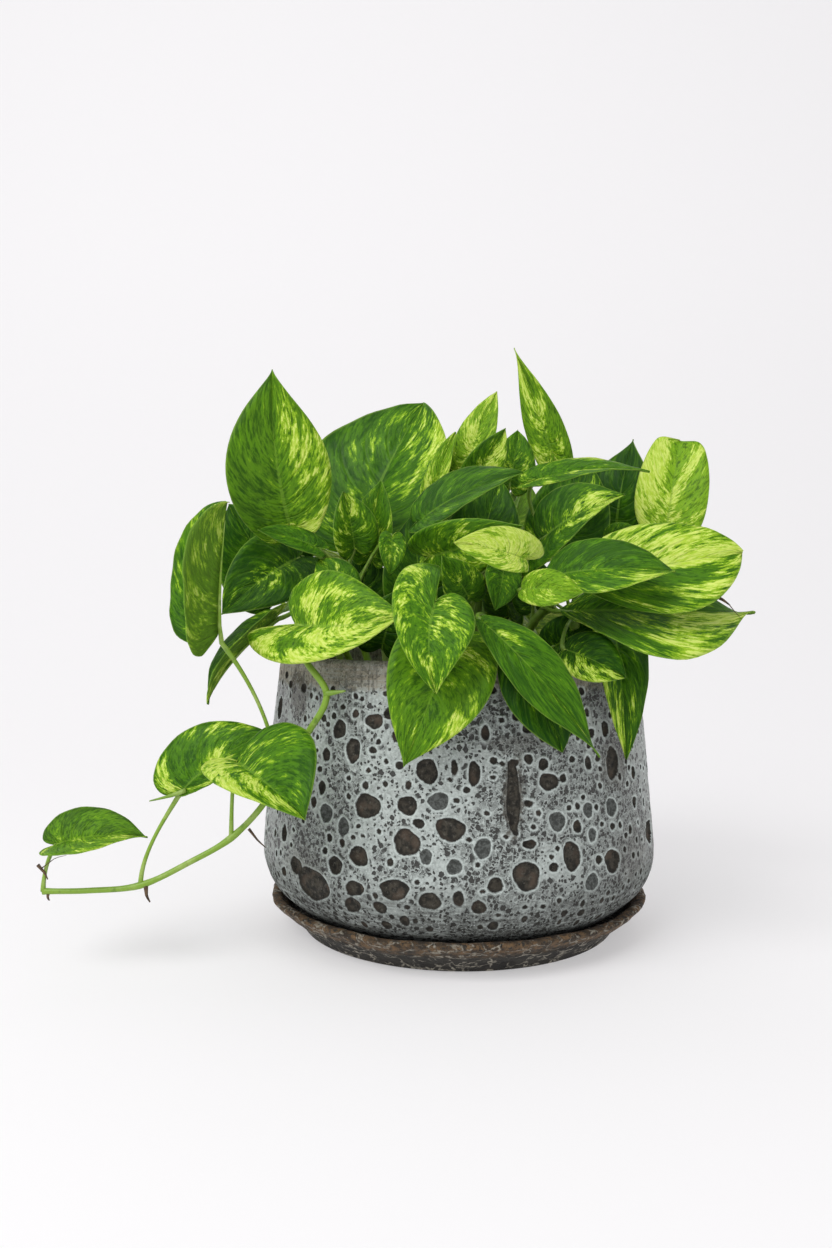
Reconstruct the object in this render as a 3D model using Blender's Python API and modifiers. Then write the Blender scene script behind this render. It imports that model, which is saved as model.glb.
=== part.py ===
"""Golden pothos in a cratered stoneware pot on its saucer.

The origin is the middle of the saucer's underside. +X is to the right seen from the front, +Y is to the back.
Every length is in metres. The plant's places are written in millimetres and scaled by MM.
"""

import math
import random

import bmesh
import bpy
from mathutils import Vector

MM = 0.001
GAP = 0.0003

# Pot, turned, with a drainage hole in its floor. The sides are points of radius and height.
TURN_STEPS = 32
POT_RIM_RADIUS = 0.1172
POT_RIM_HEIGHT = 0.177
POT_BELLY_RADIUS = 0.128
POT_BELLY_HEIGHT = 0.054
POT_FOOT_RADIUS = 0.098
POT_WALL = 0.008
POT_FLOOR = 0.010
DRAIN_RADIUS = 0.008
POT_SHOULDER = ((0.1203, 0.145), (0.1235, 0.114), (0.126, 0.083))
POT_LOWER_SIDE = ((0.1265, 0.042), (0.122, 0.032), (0.115, 0.0245), (0.106, 0.0175))
POT_LIP = ((POT_RIM_RADIUS - POT_WALL + 0.0006, POT_RIM_HEIGHT - 0.003),
           (POT_RIM_RADIUS - 0.0055, POT_RIM_HEIGHT), (POT_RIM_RADIUS - 0.0015, POT_RIM_HEIGHT - 0.0008))

# Saucer, turned
SAUCER_RADIUS = 0.1225
SAUCER_HEIGHT = 0.023
SAUCER_FLOOR = 0.010
SAUCER_FOOT_RADIUS = 0.099
SAUCER_WELL = ((0.106, SAUCER_FLOOR), (0.109, 0.0125), (0.115, 0.0205), (0.1172, 0.0226))
SAUCER_SIDE = ((0.115, 0.014), (0.106, 0.006), (0.102, 0.001))

# Soil, filling the pot to 15 mm below the rim and a little heaped in the middle
SOIL_TOP = 0.162
SOIL_HEAP = ((0, SOIL_TOP), (0.07, SOIL_TOP - 0.001), (0.1105, SOIL_TOP - 0.004))
HOLE_DEPTH = 0.032
HOLE_CLEARANCE = 0.0010

# Plant
STEM_RADIUS = 0.0026
STALK_RADIUS = 0.0013
BLADE_THICKNESS = 0.0008
BLADE_GRID = (4, 5)
SMALL_GRID = (2, 4)
SMALL_BLADE = 0.046
CRUMB_CORNERS = 12
STALK_POINTS = 4
FOOT = 0.08

# Craters in the pot's glaze, placed by hand: angle from the front towards the right in degrees,
# height above the table, width across and height, in millimetres
CRATERS = (
    (-25, 144, 12, 8), (-31, 127, 9, 15), (-10, 118, 12, 14), (2, 117, 7, 13), (12, 104, 8, 38),
    (22, 111, 13, 9), (-26, 97, 17, 13), (-15, 99, 12, 10), (-7, 102, 11, 10), (-4, 87, 16, 13),
    (-15, 79, 16, 14), (28, 69, 12, 16), (15, 61, 15, 17), (-28, 69, 12, 11), (-18, 53, 18, 11),
    (-9, 48, 12, 10), (-35, 62, 10, 10), (-50, 56, 12, 10), (-43, 48, 25, 20), (-29, 51, 12, 9),
    (-39, 90, 10, 10), (45, 117, 12, 19), (43, 92, 10, 10), (42, 62, 13, 14),
)
CRATER_DEPTH = 0.0022
BACK_CRATERS = 12
BACK_CRATER_SEED = 11
BACK_CRATER_SPACING = 19


def leaf(name, at, base, tip, face, width=0.78, arch=0.6, fold=0.25, bend=0.0, lobe=1.0, skew=0.0,
         uneven=0.0, wave=0.02, taper=0.9):
    """One leaf. at: how far along the stem's points its stalk starts, 0 to 1. base, tip: ends of its midrib.
    face: where its upper side looks. width, lobe, wave: shares of its length. arch, bend, fold: in radians,
    the midrib's curve down and sideways and how far each half is raised. skew, uneven: how much longer the
    lobe of its right half is than that of its left, and how much wider the half. taper: how drawn out its tip
    is."""
    return dict(name=name, at=at, base=base, tip=tip, face=face, width=width, arch=arch, fold=fold, bend=bend,
                lobe=lobe, skew=skew, uneven=uneven, wave=wave, taper=taper)


# Stems from the soil upwards, with their leaves, in millimetres
STEMS = {
    "stem_left": dict(
        route=((-58, -20, 130), (-58, -20, 168), (-66, -26, 192), (-74, -32, 210), (-78, -30, 224)),
        leaves=(
            leaf("tall", 0.95, (-106, -40, 255), (-115, -62, 352), (0.15, -1, 0.3), width=0.64, arch=0.3,
                 bend=-0.33, lobe=0.5, taper=1.5),
            leaf("wide", 0.6, (-70, 14, 248), (-22, 44, 352), (-0.45, -1, 0.2), width=0.92, arch=0.3,
                 fold=0.3, bend=-0.1, lobe=0.5, taper=0.5),
            leaf("folded", 0.8, (-67, -30, 246), (-74, -34, 281), (0.4, -1, 0.1), width=0.85, fold=0.6),
            leaf("dark", 0.7, (-57, -16, 242), (-50, -18, 290), (-0.2, -1, 0.1), width=0.6, fold=0.5),
            leaf("lying", 0.9, (-88, -52, 244), (-125, -54, 255), (0, -1, 0.8), width=0.45),
            leaf("inner", 0.5, (-71, -60, 217), (-88, -52, 237), (0.2, -1, 0.3), width=1.0),
            leaf("nodding", 0.6, (-42, -65, 250), (-43, -73, 227), (0.2, -1, 0.1), width=0.7),
            leaf("rear", 0.45, (-64, -3, 203), (-60, -3, 245), (0, -1, 0.2), width=1.0),
        )),
    "stem_left_low": dict(
        route=((-78, 4, 130), (-78, 4, 168), (-84, -4, 192), (-90, -14, 206)),
        leaves=(
            leaf("shaded", 0.8, (-103, -20, 240), (-149, -45, 203), (0.3, -0.9, 0.6), width=0.8, arch=0.9),
            leaf("hanging", 0.95, (-114, -62, 200), (-150, -84, 151), (-0.9, -0.4, 0.1), width=0.45,
                 fold=0.7),
            leaf("rear", 1.0, (-120, -6, 220), (-151, -10, 275), (0.2, -1, 0.2), width=1.0),
        )),
    "stem_trailing": dict(
        route=((-66, -62, 130), (-66, -62, 168), (-75, -77, 190), (-84, -88, 190), (-91, -98, 179),
               (-78, -105, 159), (-88, -104, 138), (-103, -98, 119), (-115, -92, 95), (-134, -94, 75),
               (-157, -98, 62), (-184, -102, 50), (-213, -102, 47), (-240, -100, 46)),
        leaves=(
            leaf("front_heart", 0.254, (-96, -98, 198), (-34, -124, 204), (-0.05, -1, 0.35), width=0.82,
                 arch=0.25, fold=0.15, bend=0.45, lobe=1.5, skew=0.6, uneven=-0.15),
            leaf("raised", 0.569, (-142, -96, 191), (-137, -90, 269), (-1, -0.55, 0.05), width=0.53, arch=0.2,
                 fold=1.6, lobe=0.7, skew=0.2, uneven=0.08, taper=0.1),
            leaf("second", 0.692, (-128, -108, 121), (-85, -150, 98), (-0.1, -0.8, 0.8), width=0.85, arch=0.5,
                 fold=0.5, lobe=0.8, skew=0.5, uneven=-0.24),
            leaf("third", 0.846, (-163, -96, 101), (-113, -86, 134), (-0.2, -0.9, 0.5), width=0.62, arch=0.4,
                 bend=-0.4, lobe=0.5, skew=-0.3, uneven=-0.4),
            leaf("last", 1.0, (-232, -100, 73), (-181, -98, 76), (0, -0.47, 0.88), width=0.75, arch=0.4,
                 fold=0.42, bend=-0.3, taper=1.3),
        )),
    "stem_centre": dict(
        route=((-22, -58, 130), (-22, -58, 168), (-26, -74, 190), (-24, -88, 200)),
        leaves=(
            leaf("marbled", 0.95, (-17, -136, 211), (-17, -152, 163), (0, -1, 0.3), width=0.92, lobe=1.7,
                 skew=0.8, arch=0.8, bend=0.6, taper=1.2),
            leaf("shade", 0.3, (-48, -66, 184), (-38, -76, 218), (0, -1, 0.2), width=1.0),
            leaf("behind", 0.6, (4, -88, 212), (-13, -102, 237), (0, -1, 0.3), width=0.8),
            leaf("drop", 0.9, (-8, -122, 189), (-34, -141, 124), (0.1, -1, 0.2), width=0.8, taper=1.3),
        )),
    "stem_front": dict(
        route=((8, -66, 130), (8, -66, 168), (10, -80, 188), (14, -94, 196)),
        leaves=(
            leaf("long", 0.95, (8, -128, 201), (69, -142, 129), (0.1, -1, 0.45), width=0.31, bend=-0.1,
                 lobe=0.3, taper=2.6),
            leaf("under", 0.9, (24, -119, 183), (51, -132, 130), (0.1, -1, 0.2), width=0.6, bend=-0.3,
                 lobe=0.3),
        )),
    "stem_right_low": dict(
        route=((52, -52, 130), (52, -52, 168), (60, -66, 190), (68, -76, 198)),
        leaves=(
            leaf("shade", 0.6, (54, -74, 184), (82, -70, 199), (0.2, -1, 0.3), width=0.9),
            leaf("shelf", 0.9, (57, -106, 184), (88, -119, 169), (0.2, -1, 0.4), width=0.85, lobe=0.4),
            leaf("arching", 0.95, (92, -62, 201), (94, -94, 120), (0.4, -1, 0.3), width=0.42, arch=1.0,
                 bend=0.5, taper=1.4),
        )),
    "stem_right": dict(
        route=((38, -36, 130), (38, -36, 168), (44, -50, 196), (56, -62, 210)),
        leaves=(
            leaf("near", 0.7, (47, -104, 225), (112, -132, 227), (0.0, -0.9, 0.7), width=0.54, lobe=0.4),
            leaf("bright", 0.95, (64, -94, 220), (156, -108, 239), (0, -1, 0.45), width=0.62, arch=0.4,
                 lobe=-0.1, skew=-0.3, uneven=0.12, taper=0.5),
            leaf("tail", 0.8, (58, -80, 206), (168, -92, 204), (0, -0.75, 0.8), width=0.62, bend=0.5,
                 lobe=-0.05, skew=-0.1, uneven=0.27, taper=3.2),
            leaf("pale", 0.9, (31, -120, 218), (62, -136, 216), (0, -0.9, 0.3), width=0.62, lobe=0.4),
            leaf("rear", 0.4, (50, -18, 208), (47, -14, 242), (0, -1, 0.2), width=0.9),
        )),
    "stem_top": dict(
        route=((12, 8, 130), (12, 8, 168), (16, 12, 215), (26, 14, 255), (40, 18, 285)),
        leaves=(
            leaf("spear", 1.0, (70, 26, 308), (40, 18, 385), (-0.1, -1, 0.1), width=0.33, arch=0.3,
                 lobe=1.2, taper=2.2),
            leaf("light", 0.8, (8, 24, 305), (29, 28, 357), (-0.3, -1, 0.2), width=0.5, fold=0.3),
            leaf("folded", 0.7, (10, 2, 292), (32, -6, 326), (0.3, -1, 0.1), width=0.6, fold=0.4),
            leaf("small", 0.9, (36, 10, 290), (42, 14, 328), (0.2, -1, 0.1), width=0.8),
            leaf("narrow", 0.6, (-18, -26, 272), (-2, -26, 320), (-0.4, -1, 0.1), width=0.34, fold=0.6),
            leaf("dark", 0.7, (-12, 34, 284), (2, 38, 324), (0, -1, 0.1), width=0.7),
            leaf("rear", 0.65, (18, 36, 258), (26, 38, 300), (0, -1, 0.2), width=0.9),
        )),
    "stem_right_back": dict(
        route=((72, 18, 130), (72, 18, 168), (80, 16, 205), (90, 14, 232)),
        leaves=(
            leaf("square", 0.95, (140, 2, 256), (153, 14, 321), (-0.2, -1, 0.2), width=0.71, arch=0.3,
                 lobe=0.5, skew=0.1, taper=-0.75),
            leaf("dark", 0.8, (112, 30, 256), (126, 36, 325), (-0.6, -0.9, 0.1), width=0.78, taper=1.5),
            leaf("tall", 0.6, (70, 8, 246), (90, 20, 308), (-0.1, -1, 0.2), width=0.85),
            leaf("level", 0.7, (50, -20, 290), (121, -34, 293), (0, -0.6, 0.9), width=0.4, taper=1.4),
        )),
    "stem_middle": dict(
        route=((2, -26, 130), (2, -26, 168), (6, -36, 205), (14, -46, 225)),
        leaves=(
            leaf("broad", 0.95, (52, -44, 251), (98, -70, 275), (0.2, -0.8, 0.7), width=0.88, lobe=1.3,
                 skew=0.6, taper=1.4),
            leaf("shelf", 0.8, (-26, -44, 261), (37, -70, 288), (-0.2, -0.7, 0.8), width=0.6, lobe=0.6),
            leaf("olive", 0.7, (-20, -66, 238), (34, -92, 255), (-0.1, -1, -0.3), width=0.62),
            leaf("lime", 0.9, (34, -107, 235), (-7, -126, 243), (0, -1, 0.45), width=0.66, lobe=1.1, skew=0.6,
                 uneven=0.1),
            leaf("round", 0.8, (24, -82, 230), (18, -93, 206), (0.3, -1, 0.2), width=0.85),
            leaf("deep", 0.5, (-24, -20, 207), (-30, -14, 268), (0.1, -1, 0.2), width=0.8),
            leaf("centre", 0.6, (12, -14, 235), (28, -8, 293), (-0.1, -1, 0.2), width=0.82),
            leaf("shade", 0.9, (27, -34, 222), (25, -30, 262), (0, -1, 0.2), width=0.8),
            leaf("curl", 1.0, (94, -36, 250), (110, -46, 257), (0, -0.8, 0.7), width=0.9),
        )),
}

# Stems round the back, one for each angle in degrees from +X, with two to four leaves each, in millimetres.
# A stem's points and a leaf's ends are given as how far out from the pot's axis and how high.
BACK_ANGLES = (28, 58, 90, 122, 150)
BACK_SEED = 7
BACK_ROUTE = ((56, 130), (56, 168), (62, 200), (72, 222))
BACK_LOW = ((104, 204), 152)
BACK_LEVEL = ((80, 236), (140, 238))
BACK_INNER = ((42, 200), 36)
BACK_RAISED = ((54, 258), 86)
BACK_LOW_TIPS = (190, 146, 140, 148, 198)
BACK_INNER_TIPS = (256, None, None, 262, None)
BACK_RAISED_TIPS = (286, 304, 300, 306, None)
BACK_LEANS = (-6, 9, -6, 9, 0)


def back_stem(angle, low_tip, inner_tip, raised_tip, lean, draw):
    """A stem leaning out at the angle: a low leaf over the rim, a level one beside it, and where they have a
    height an inner leaf facing the middle and a raised one."""
    out = Vector((math.cos(angle), math.sin(angle), 0))
    beside = Vector((math.cos(angle + 0.3), math.sin(angle + 0.3), 0))
    up = Vector((0, 0, 1))

    def at(way, reach, height):
        return tuple(way * (reach + draw.uniform(-3, 3)) + up * (height + draw.uniform(-3, 3)))

    leaves = [
        leaf("low", 0.8, at(out, *BACK_LOW[0]), at(out, BACK_LOW[1], low_tip), tuple(out + 0.6 * up),
             width=draw.uniform(0.74, 0.86), arch=0.9, bend=draw.uniform(-0.3, 0.3)),
        leaf("level", 0.9, at(beside, *BACK_LEVEL[0]), at(beside, *BACK_LEVEL[1]), tuple(0.4 * beside + up),
             width=draw.uniform(0.7, 0.82), arch=0.8, bend=draw.uniform(-0.3, 0.3)),
    ]
    if inner_tip:
        leaves.append(leaf("inner", 0.5, at(out, *BACK_INNER[0]), at(out, BACK_INNER[1], inner_tip),
                           tuple(0.3 * up - out), width=draw.uniform(0.8, 0.95), arch=0.5,
                           bend=draw.uniform(-0.3, 0.3)))
    if raised_tip:
        (reach, height), tip_reach = BACK_RAISED
        leaves.append(leaf("raised", 1.0, at(out, reach + lean, height),
                           at(out, tip_reach + 2 * lean, raised_tip), tuple(out + 0.4 * up),
                           width=draw.uniform(0.66, 0.76), arch=0.6, bend=draw.uniform(-0.3, 0.3)))
    route = [tuple(out * reach + up * height) for reach, height in BACK_ROUTE]
    return dict(route=route, leaves=leaves)


def add_back_stems():
    draw = random.Random(BACK_SEED)
    rows = zip(BACK_ANGLES, BACK_LOW_TIPS, BACK_INNER_TIPS, BACK_RAISED_TIPS, BACK_LEANS)
    for number, (degrees, low_tip, inner_tip, raised_tip, lean) in enumerate(rows):
        STEMS["stem_back_%d" % (number + 1)] = back_stem(
            math.radians(degrees), low_tip, inner_tip, raised_tip, lean, draw)


def clear_scene():
    for item in list(bpy.data.objects):
        bpy.data.objects.remove(item, do_unlink=True)


def new_collection(name):
    collection = bpy.data.collections.new(name)
    bpy.context.scene.collection.children.link(collection)
    return collection


def material(name, colour, roughness, metallic=0.0):
    made = bpy.data.materials.new(name)
    made.use_nodes = True
    shader = made.node_tree.nodes["Principled BSDF"]
    shader.inputs["Base Color"].default_value = (*colour, 1)
    shader.inputs["Roughness"].default_value = roughness
    shader.inputs["Metallic"].default_value = metallic
    return made


def turned(name, profile, look, collection, closed):
    """Profile points of radius and height, down the outer side, turned about the middle."""
    bm = bmesh.new()
    corners = [bm.verts.new((radius, 0, height)) for radius, height in profile]
    for first, second in zip(corners, corners[1:]):
        bm.edges.new((first, second))
    if closed:
        bm.edges.new((corners[-1], corners[0]))
    mesh = bpy.data.meshes.new(name)
    bm.to_mesh(mesh)
    bm.free()
    thing = bpy.data.objects.new(name, mesh)
    collection.objects.link(thing)
    mesh.materials.append(look)
    screw = thing.modifiers.new("Turn", "SCREW")
    screw.steps = TURN_STEPS
    screw.render_steps = TURN_STEPS
    screw.use_merge_vertices = True
    screw.merge_threshold = 0.00001
    screw.use_smooth_shade = True
    return thing


def pot_outside():
    """The outer side from the rim to the foot."""
    return [(POT_RIM_RADIUS, POT_RIM_HEIGHT - 0.004), *POT_SHOULDER, (POT_BELLY_RADIUS, POT_BELLY_HEIGHT),
            *POT_LOWER_SIDE, (POT_FOOT_RADIUS, 0.0125), (POT_FOOT_RADIUS - 0.006, SAUCER_FLOOR + GAP)]


def pot_inside(clear=0.0):
    """The cavity from its floor to the rim, or the soil's side where clear is the gap to the wall."""
    floor = SAUCER_FLOOR + GAP + POT_FLOOR
    foot = POT_FOOT_RADIUS - POT_WALL
    upper = [(radius - POT_WALL - clear, height) for radius, height in reversed(POT_SHOULDER)
             if height != POT_SHOULDER[1][1]]
    return [(foot - clear, floor + clear), (0.1115 - clear, 0.037 + clear),
            (POT_BELLY_RADIUS - POT_WALL - clear, POT_BELLY_HEIGHT + 0.003), *upper]


def make_pot(collection, cutters):
    look = material("Cratered glaze", (0.42, 0.47, 0.47), 0.6)
    inside = pot_inside()
    hole = [(DRAIN_RADIUS, SAUCER_FLOOR + GAP), (DRAIN_RADIUS, inside[0][1])]
    pot = turned("pot", pot_outside() + hole + inside + list(POT_LIP), look, collection, closed=True)
    cut = pot.modifiers.new("Craters", "BOOLEAN")
    cut.operation = "DIFFERENCE"
    cut.operand_type = "COLLECTION"
    cut.collection = cutters
    cut.solver = "EXACT"


def pot_radius(height):
    """The pot's outer radius at a height."""
    side = pot_outside()
    for (upper, top), (lower, bottom) in zip(side, side[1:]):
        if bottom <= height <= top:
            return lower + (upper - lower) * (height - bottom) / (top - bottom)
    return POT_RIM_RADIUS


def crater_places():
    """The craters placed by hand, then a drawn set round the sides and back that keep clear of each other."""
    places = list(CRATERS)
    draw = random.Random(BACK_CRATER_SEED)
    while len(places) < len(CRATERS) + BACK_CRATERS:
        angle = draw.uniform(66, 294)
        height = draw.uniform(48, 148)
        width = draw.uniform(8, 17)
        spacing = [math.hypot(math.radians(angle - other[0]) * POT_BELLY_RADIUS / MM, height - other[1])
                   for other in places]
        if min(spacing) > BACK_CRATER_SPACING:
            places.append((angle, height, width, width * draw.uniform(0.7, 1.2)))
    return places


def make_crater_cutters(cutters):
    """A flattened ball for each crater, its middle on the pot's outer side."""
    for number, (degrees, height, width, tall) in enumerate(crater_places()):
        angle = math.radians(degrees)
        bm = bmesh.new()
        bmesh.ops.create_uvsphere(bm, u_segments=6, v_segments=4, radius=1)
        mesh = bpy.data.meshes.new("crater_%d" % (number + 1))
        bm.to_mesh(mesh)
        bm.free()
        ball = bpy.data.objects.new(mesh.name, mesh)
        ball.scale = (width * MM / 2, tall * MM / 2, CRATER_DEPTH)
        out = Vector((math.sin(angle), -math.cos(angle), 0))
        slope = (pot_radius(height * MM + 0.005) - pot_radius(height * MM - 0.005)) / 0.01
        outward = (out - Vector((0, 0, slope))).normalized()
        ball.rotation_euler = outward.to_track_quat("Z", "Y").to_euler()
        ball.location = out * pot_radius(height * MM) + Vector((0, 0, height * MM))
        ball.hide_render = True
        ball.display_type = "WIRE"
        cutters.objects.link(ball)


def make_saucer(collection):
    look = material("Rough dark clay", (0.085, 0.07, 0.06), 0.9)
    rim = [(SAUCER_RADIUS - 0.0017, SAUCER_HEIGHT), (SAUCER_RADIUS, SAUCER_HEIGHT - 0.0018)]
    profile = [(0, SAUCER_FLOOR), *SAUCER_WELL, *rim, *SAUCER_SIDE, (SAUCER_FOOT_RADIUS, 0), (0, 0)]
    turned("saucer", profile, look, collection, closed=False)


def make_soil(collection, cutters):
    """Potting soil with a plain upright hole for each stem."""
    look = material("Potting soil", (0.05, 0.035, 0.025), 0.95)
    side = list(reversed(pot_inside(GAP)))
    soil = turned("soil", [*SOIL_HEAP, *side, (0, side[-1][1])], look, collection, closed=False)
    cut = soil.modifiers.new("Stem holes", "BOOLEAN")
    cut.operation = "DIFFERENCE"
    cut.operand_type = "COLLECTION"
    cut.collection = cutters
    cut.solver = "EXACT"


def make_hole_cutters(cutters):
    for name, stem in STEMS.items():
        x, y, foot = stem["route"][0]
        bpy.ops.mesh.primitive_cylinder_add(
            vertices=8, radius=STEM_RADIUS + HOLE_CLEARANCE, depth=2 * HOLE_DEPTH,
            location=(x * MM, y * MM, foot * MM - GAP + HOLE_DEPTH))
        hole = bpy.context.object
        hole.name = name + "_hole"
        hole.hide_render = True
        hole.display_type = "WIRE"
        for owner in list(hole.users_collection):
            owner.objects.unlink(hole)
        cutters.objects.link(hole)


def smooth_route(points, share):
    """The point at a share of the way along a smooth curve through the points."""
    place = min(max(share, 0), 1) * (len(points) - 1)
    index = min(int(place), len(points) - 2)
    step = place - index
    if index == 0:
        return Vector(points[0]).lerp(Vector(points[1]), step)
    around = [Vector(points[min(max(index + k, 0), len(points) - 1)]) for k in (-1, 0, 1, 2)]
    before, start, end, after = around
    return 0.5 * (2 * start + (end - before) * step + (2 * before - 5 * start + 4 * end - after) * step ** 2
                  + (3 * start - before - 3 * end + after) * step ** 3)


def leaf_axes(one):
    """Across, along and upward directions of a leaf."""
    along = (Vector(one["tip"]) - Vector(one["base"])).normalized()
    face = Vector(one["face"])
    up = (face - along * face.dot(along)).normalized()
    return along.cross(up), along, up


def on_arc(offset, along, angle):
    """Bends a straight length of 1 into an arc that keeps its two ends in place."""
    if abs(angle) < 0.001:
        return offset, along
    radius = 1 / angle
    turn = angle * (along - 0.5)
    chord = 2 * radius * math.sin(angle / 2)
    return (((radius + offset) * math.cos(turn) - radius * math.cos(angle / 2)) / chord,
            ((radius + offset) * math.sin(turn) + radius * math.sin(angle / 2)) / chord)


def blade_point(one, across, along):
    """A heart-shaped blade: across runs from -1 to 1 between its edges, along from its base to its tip."""
    side = abs(across)
    edge_out = 0.5 * one["width"] * max(math.sin(math.pi * along), 0) ** (1.1 + one["taper"] * along)
    half = math.copysign(1, across)
    edge_out *= 1 + half * one["uneven"]
    lobe = one["lobe"] + half * one["skew"]
    edge_along = along * along * (3 - 2 * along) - 2 * lobe * along * (1 - along) ** 2
    rib = along ** 2.2
    x = math.copysign(side * edge_out, across)
    y = rib + side * (edge_along - rib)
    z = one["fold"] * (side * edge_out - 0.5 * (side * edge_out) ** 2 / one["width"])
    phase = 2.0 if across > 0 else 0.0
    z += one["wave"] * side ** 3 * math.sin(9 * along + phase + len(one["name"]))
    x, y = on_arc(x, y, one["bend"])
    z, y = on_arc(z, y, one["arch"])
    right, forward, up = leaf_axes(one)
    length = (Vector(one["tip"]) - Vector(one["base"])).length
    return Vector(one["base"]) + length * (x * right + y * forward + z * up)


def make_blade(name, one, collection):
    """A grid laid on the heart shape, given its thickness."""
    bm = bmesh.new()
    length = (Vector(one["tip"]) - Vector(one["base"])).length * MM
    across, along = BLADE_GRID if length > SMALL_BLADE else SMALL_GRID
    bmesh.ops.create_grid(bm, x_segments=across, y_segments=along, size=1)
    for vert in bm.verts:
        vert.co = blade_point(one, vert.co.x, (vert.co.y + 1) / 2) * MM
    bmesh.ops.remove_doubles(bm, verts=bm.verts, dist=0.00002)
    bmesh.ops.triangulate(bm, faces=bm.faces)
    bmesh.ops.recalc_face_normals(bm, faces=bm.faces)
    mesh = bpy.data.meshes.new(name)
    bm.to_mesh(mesh)
    bm.free()
    blade = bpy.data.objects.new(name, mesh)
    collection.objects.link(blade)
    thicken = blade.modifiers.new("Thickness", "SOLIDIFY")
    thicken.thickness = BLADE_THICKNESS
    thicken.offset = 0


def make_tube(name, points, radii, collection, rounding=1):
    """A tube along the points with its ends closed: six sides, or four where rounding is 0."""
    curve = bpy.data.curves.new(name, "CURVE")
    curve.dimensions = "3D"
    curve.bevel_depth = 1
    curve.bevel_resolution = rounding
    curve.use_fill_caps = True
    spline = curve.splines.new("POLY")
    spline.points.add(len(points) - 1)
    for point, place, radius in zip(spline.points, points, radii):
        point.co = (*place, 1)
        point.radius = radius
    guide = bpy.data.objects.new(name, curve)
    collection.objects.link(guide)
    graph = bpy.context.evaluated_depsgraph_get()
    mesh = bpy.data.meshes.new_from_object(guide.evaluated_get(graph))
    place = guide.matrix_world.copy()
    bpy.data.objects.remove(guide)
    bpy.data.curves.remove(curve)
    bm = bmesh.new()
    bm.from_mesh(mesh)
    bmesh.ops.remove_doubles(bm, verts=bm.verts, dist=0.000001)
    bmesh.ops.recalc_face_normals(bm, faces=bm.faces)
    bm.to_mesh(mesh)
    bm.free()
    tube = bpy.data.objects.new(name, mesh)
    tube.matrix_world = place
    collection.objects.link(tube)
    return tube


def stalk_points(stem, one):
    """A leaf stalk from inside the stem up to the blade, ending as the midrib's thick foot in the blade."""
    start = smooth_route(stem["route"], one["at"])
    end = Vector(one["base"])
    forward, up = leaf_axes(one)[1:]
    reach = (end - start).length
    leave = start + Vector((0, 0, 0.35 * reach))
    arrive = end - 0.4 * reach * (0.5 * forward + 0.5 * up)
    points = []
    for step in range(STALK_POINTS):
        t = step / STALK_POINTS
        points.append((1 - t) ** 3 * start + 3 * (1 - t) ** 2 * t * leave + 3 * (1 - t) * t * t * arrive
                      + t ** 3 * end)
    points.append(blade_point(one, 0, FOOT ** (1 / 2.2)))
    return [point * MM for point in points]


def drop_crumbs(mesh):
    """Removes the loose slivers of a few corners that a union leaves beside a blade's foot."""
    bm = bmesh.new()
    bm.from_mesh(mesh)
    waiting = set(bm.verts)
    while waiting:
        island = {waiting.pop()}
        edge = list(island)
        while edge:
            corner = edge.pop()
            near = {link.other_vert(corner) for link in corner.link_edges} - island
            island |= near
            edge.extend(near)
        waiting -= island
        if len(island) < CRUMB_CORNERS:
            bmesh.ops.delete(bm, geom=list(island), context="VERTS")
    bm.to_mesh(mesh)
    bm.free()


def make_stem(name, stem, collection, look):
    """The stem with its stalks and blades, joined into one body."""
    parts = new_collection(name + " parts")
    count = 2 * len(stem["route"]) - 1
    points = [smooth_route(stem["route"], step / (count - 1)) * MM for step in range(count)]
    body = make_tube(name, points, [STEM_RADIUS] * count, collection)
    for one in stem["leaves"]:
        stalk = stalk_points(stem, one)
        radii = [STALK_RADIUS] * (len(stalk) - 1) + [0.7 * STALK_RADIUS]
        make_tube(name + "_" + one["name"] + "_stalk", stalk, radii, parts, rounding=0)
        make_blade(name + "_" + one["name"], one, parts)
    join = body.modifiers.new("Join", "BOOLEAN")
    join.operation = "UNION"
    join.operand_type = "COLLECTION"
    join.collection = parts
    join.solver = "MANIFOLD"
    graph = bpy.context.evaluated_depsgraph_get()
    joined = bpy.data.meshes.new_from_object(body.evaluated_get(graph))
    body.modifiers.remove(join)
    body.data = joined
    for item in list(parts.objects):
        bpy.data.objects.remove(item, do_unlink=True)
    bpy.data.collections.remove(parts)
    drop_crumbs(joined)
    joined.materials.clear()
    joined.materials.append(look)
    joined.shade_smooth()
    joined.set_sharp_from_angle(angle=math.radians(40))
    joined.name = name


def build():
    clear_scene()
    add_back_stems()
    plant = new_collection("Potted golden pothos")
    craters = new_collection("Crater cutters")
    holes = new_collection("Stem hole cutters")
    make_saucer(plant)
    make_crater_cutters(craters)
    make_pot(plant, craters)
    make_hole_cutters(holes)
    make_soil(plant, holes)
    green = material("Green leaf", (0.16, 0.36, 0.06), 0.35)
    for name, stem in STEMS.items():
        make_stem(name, stem, plant, green)


build()
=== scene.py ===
"""Looks of a golden pothos in a cratered stoneware pot on its saucer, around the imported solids."""

import math
import random

import bmesh
import bpy
import numpy as np
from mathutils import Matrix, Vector, noise


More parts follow.
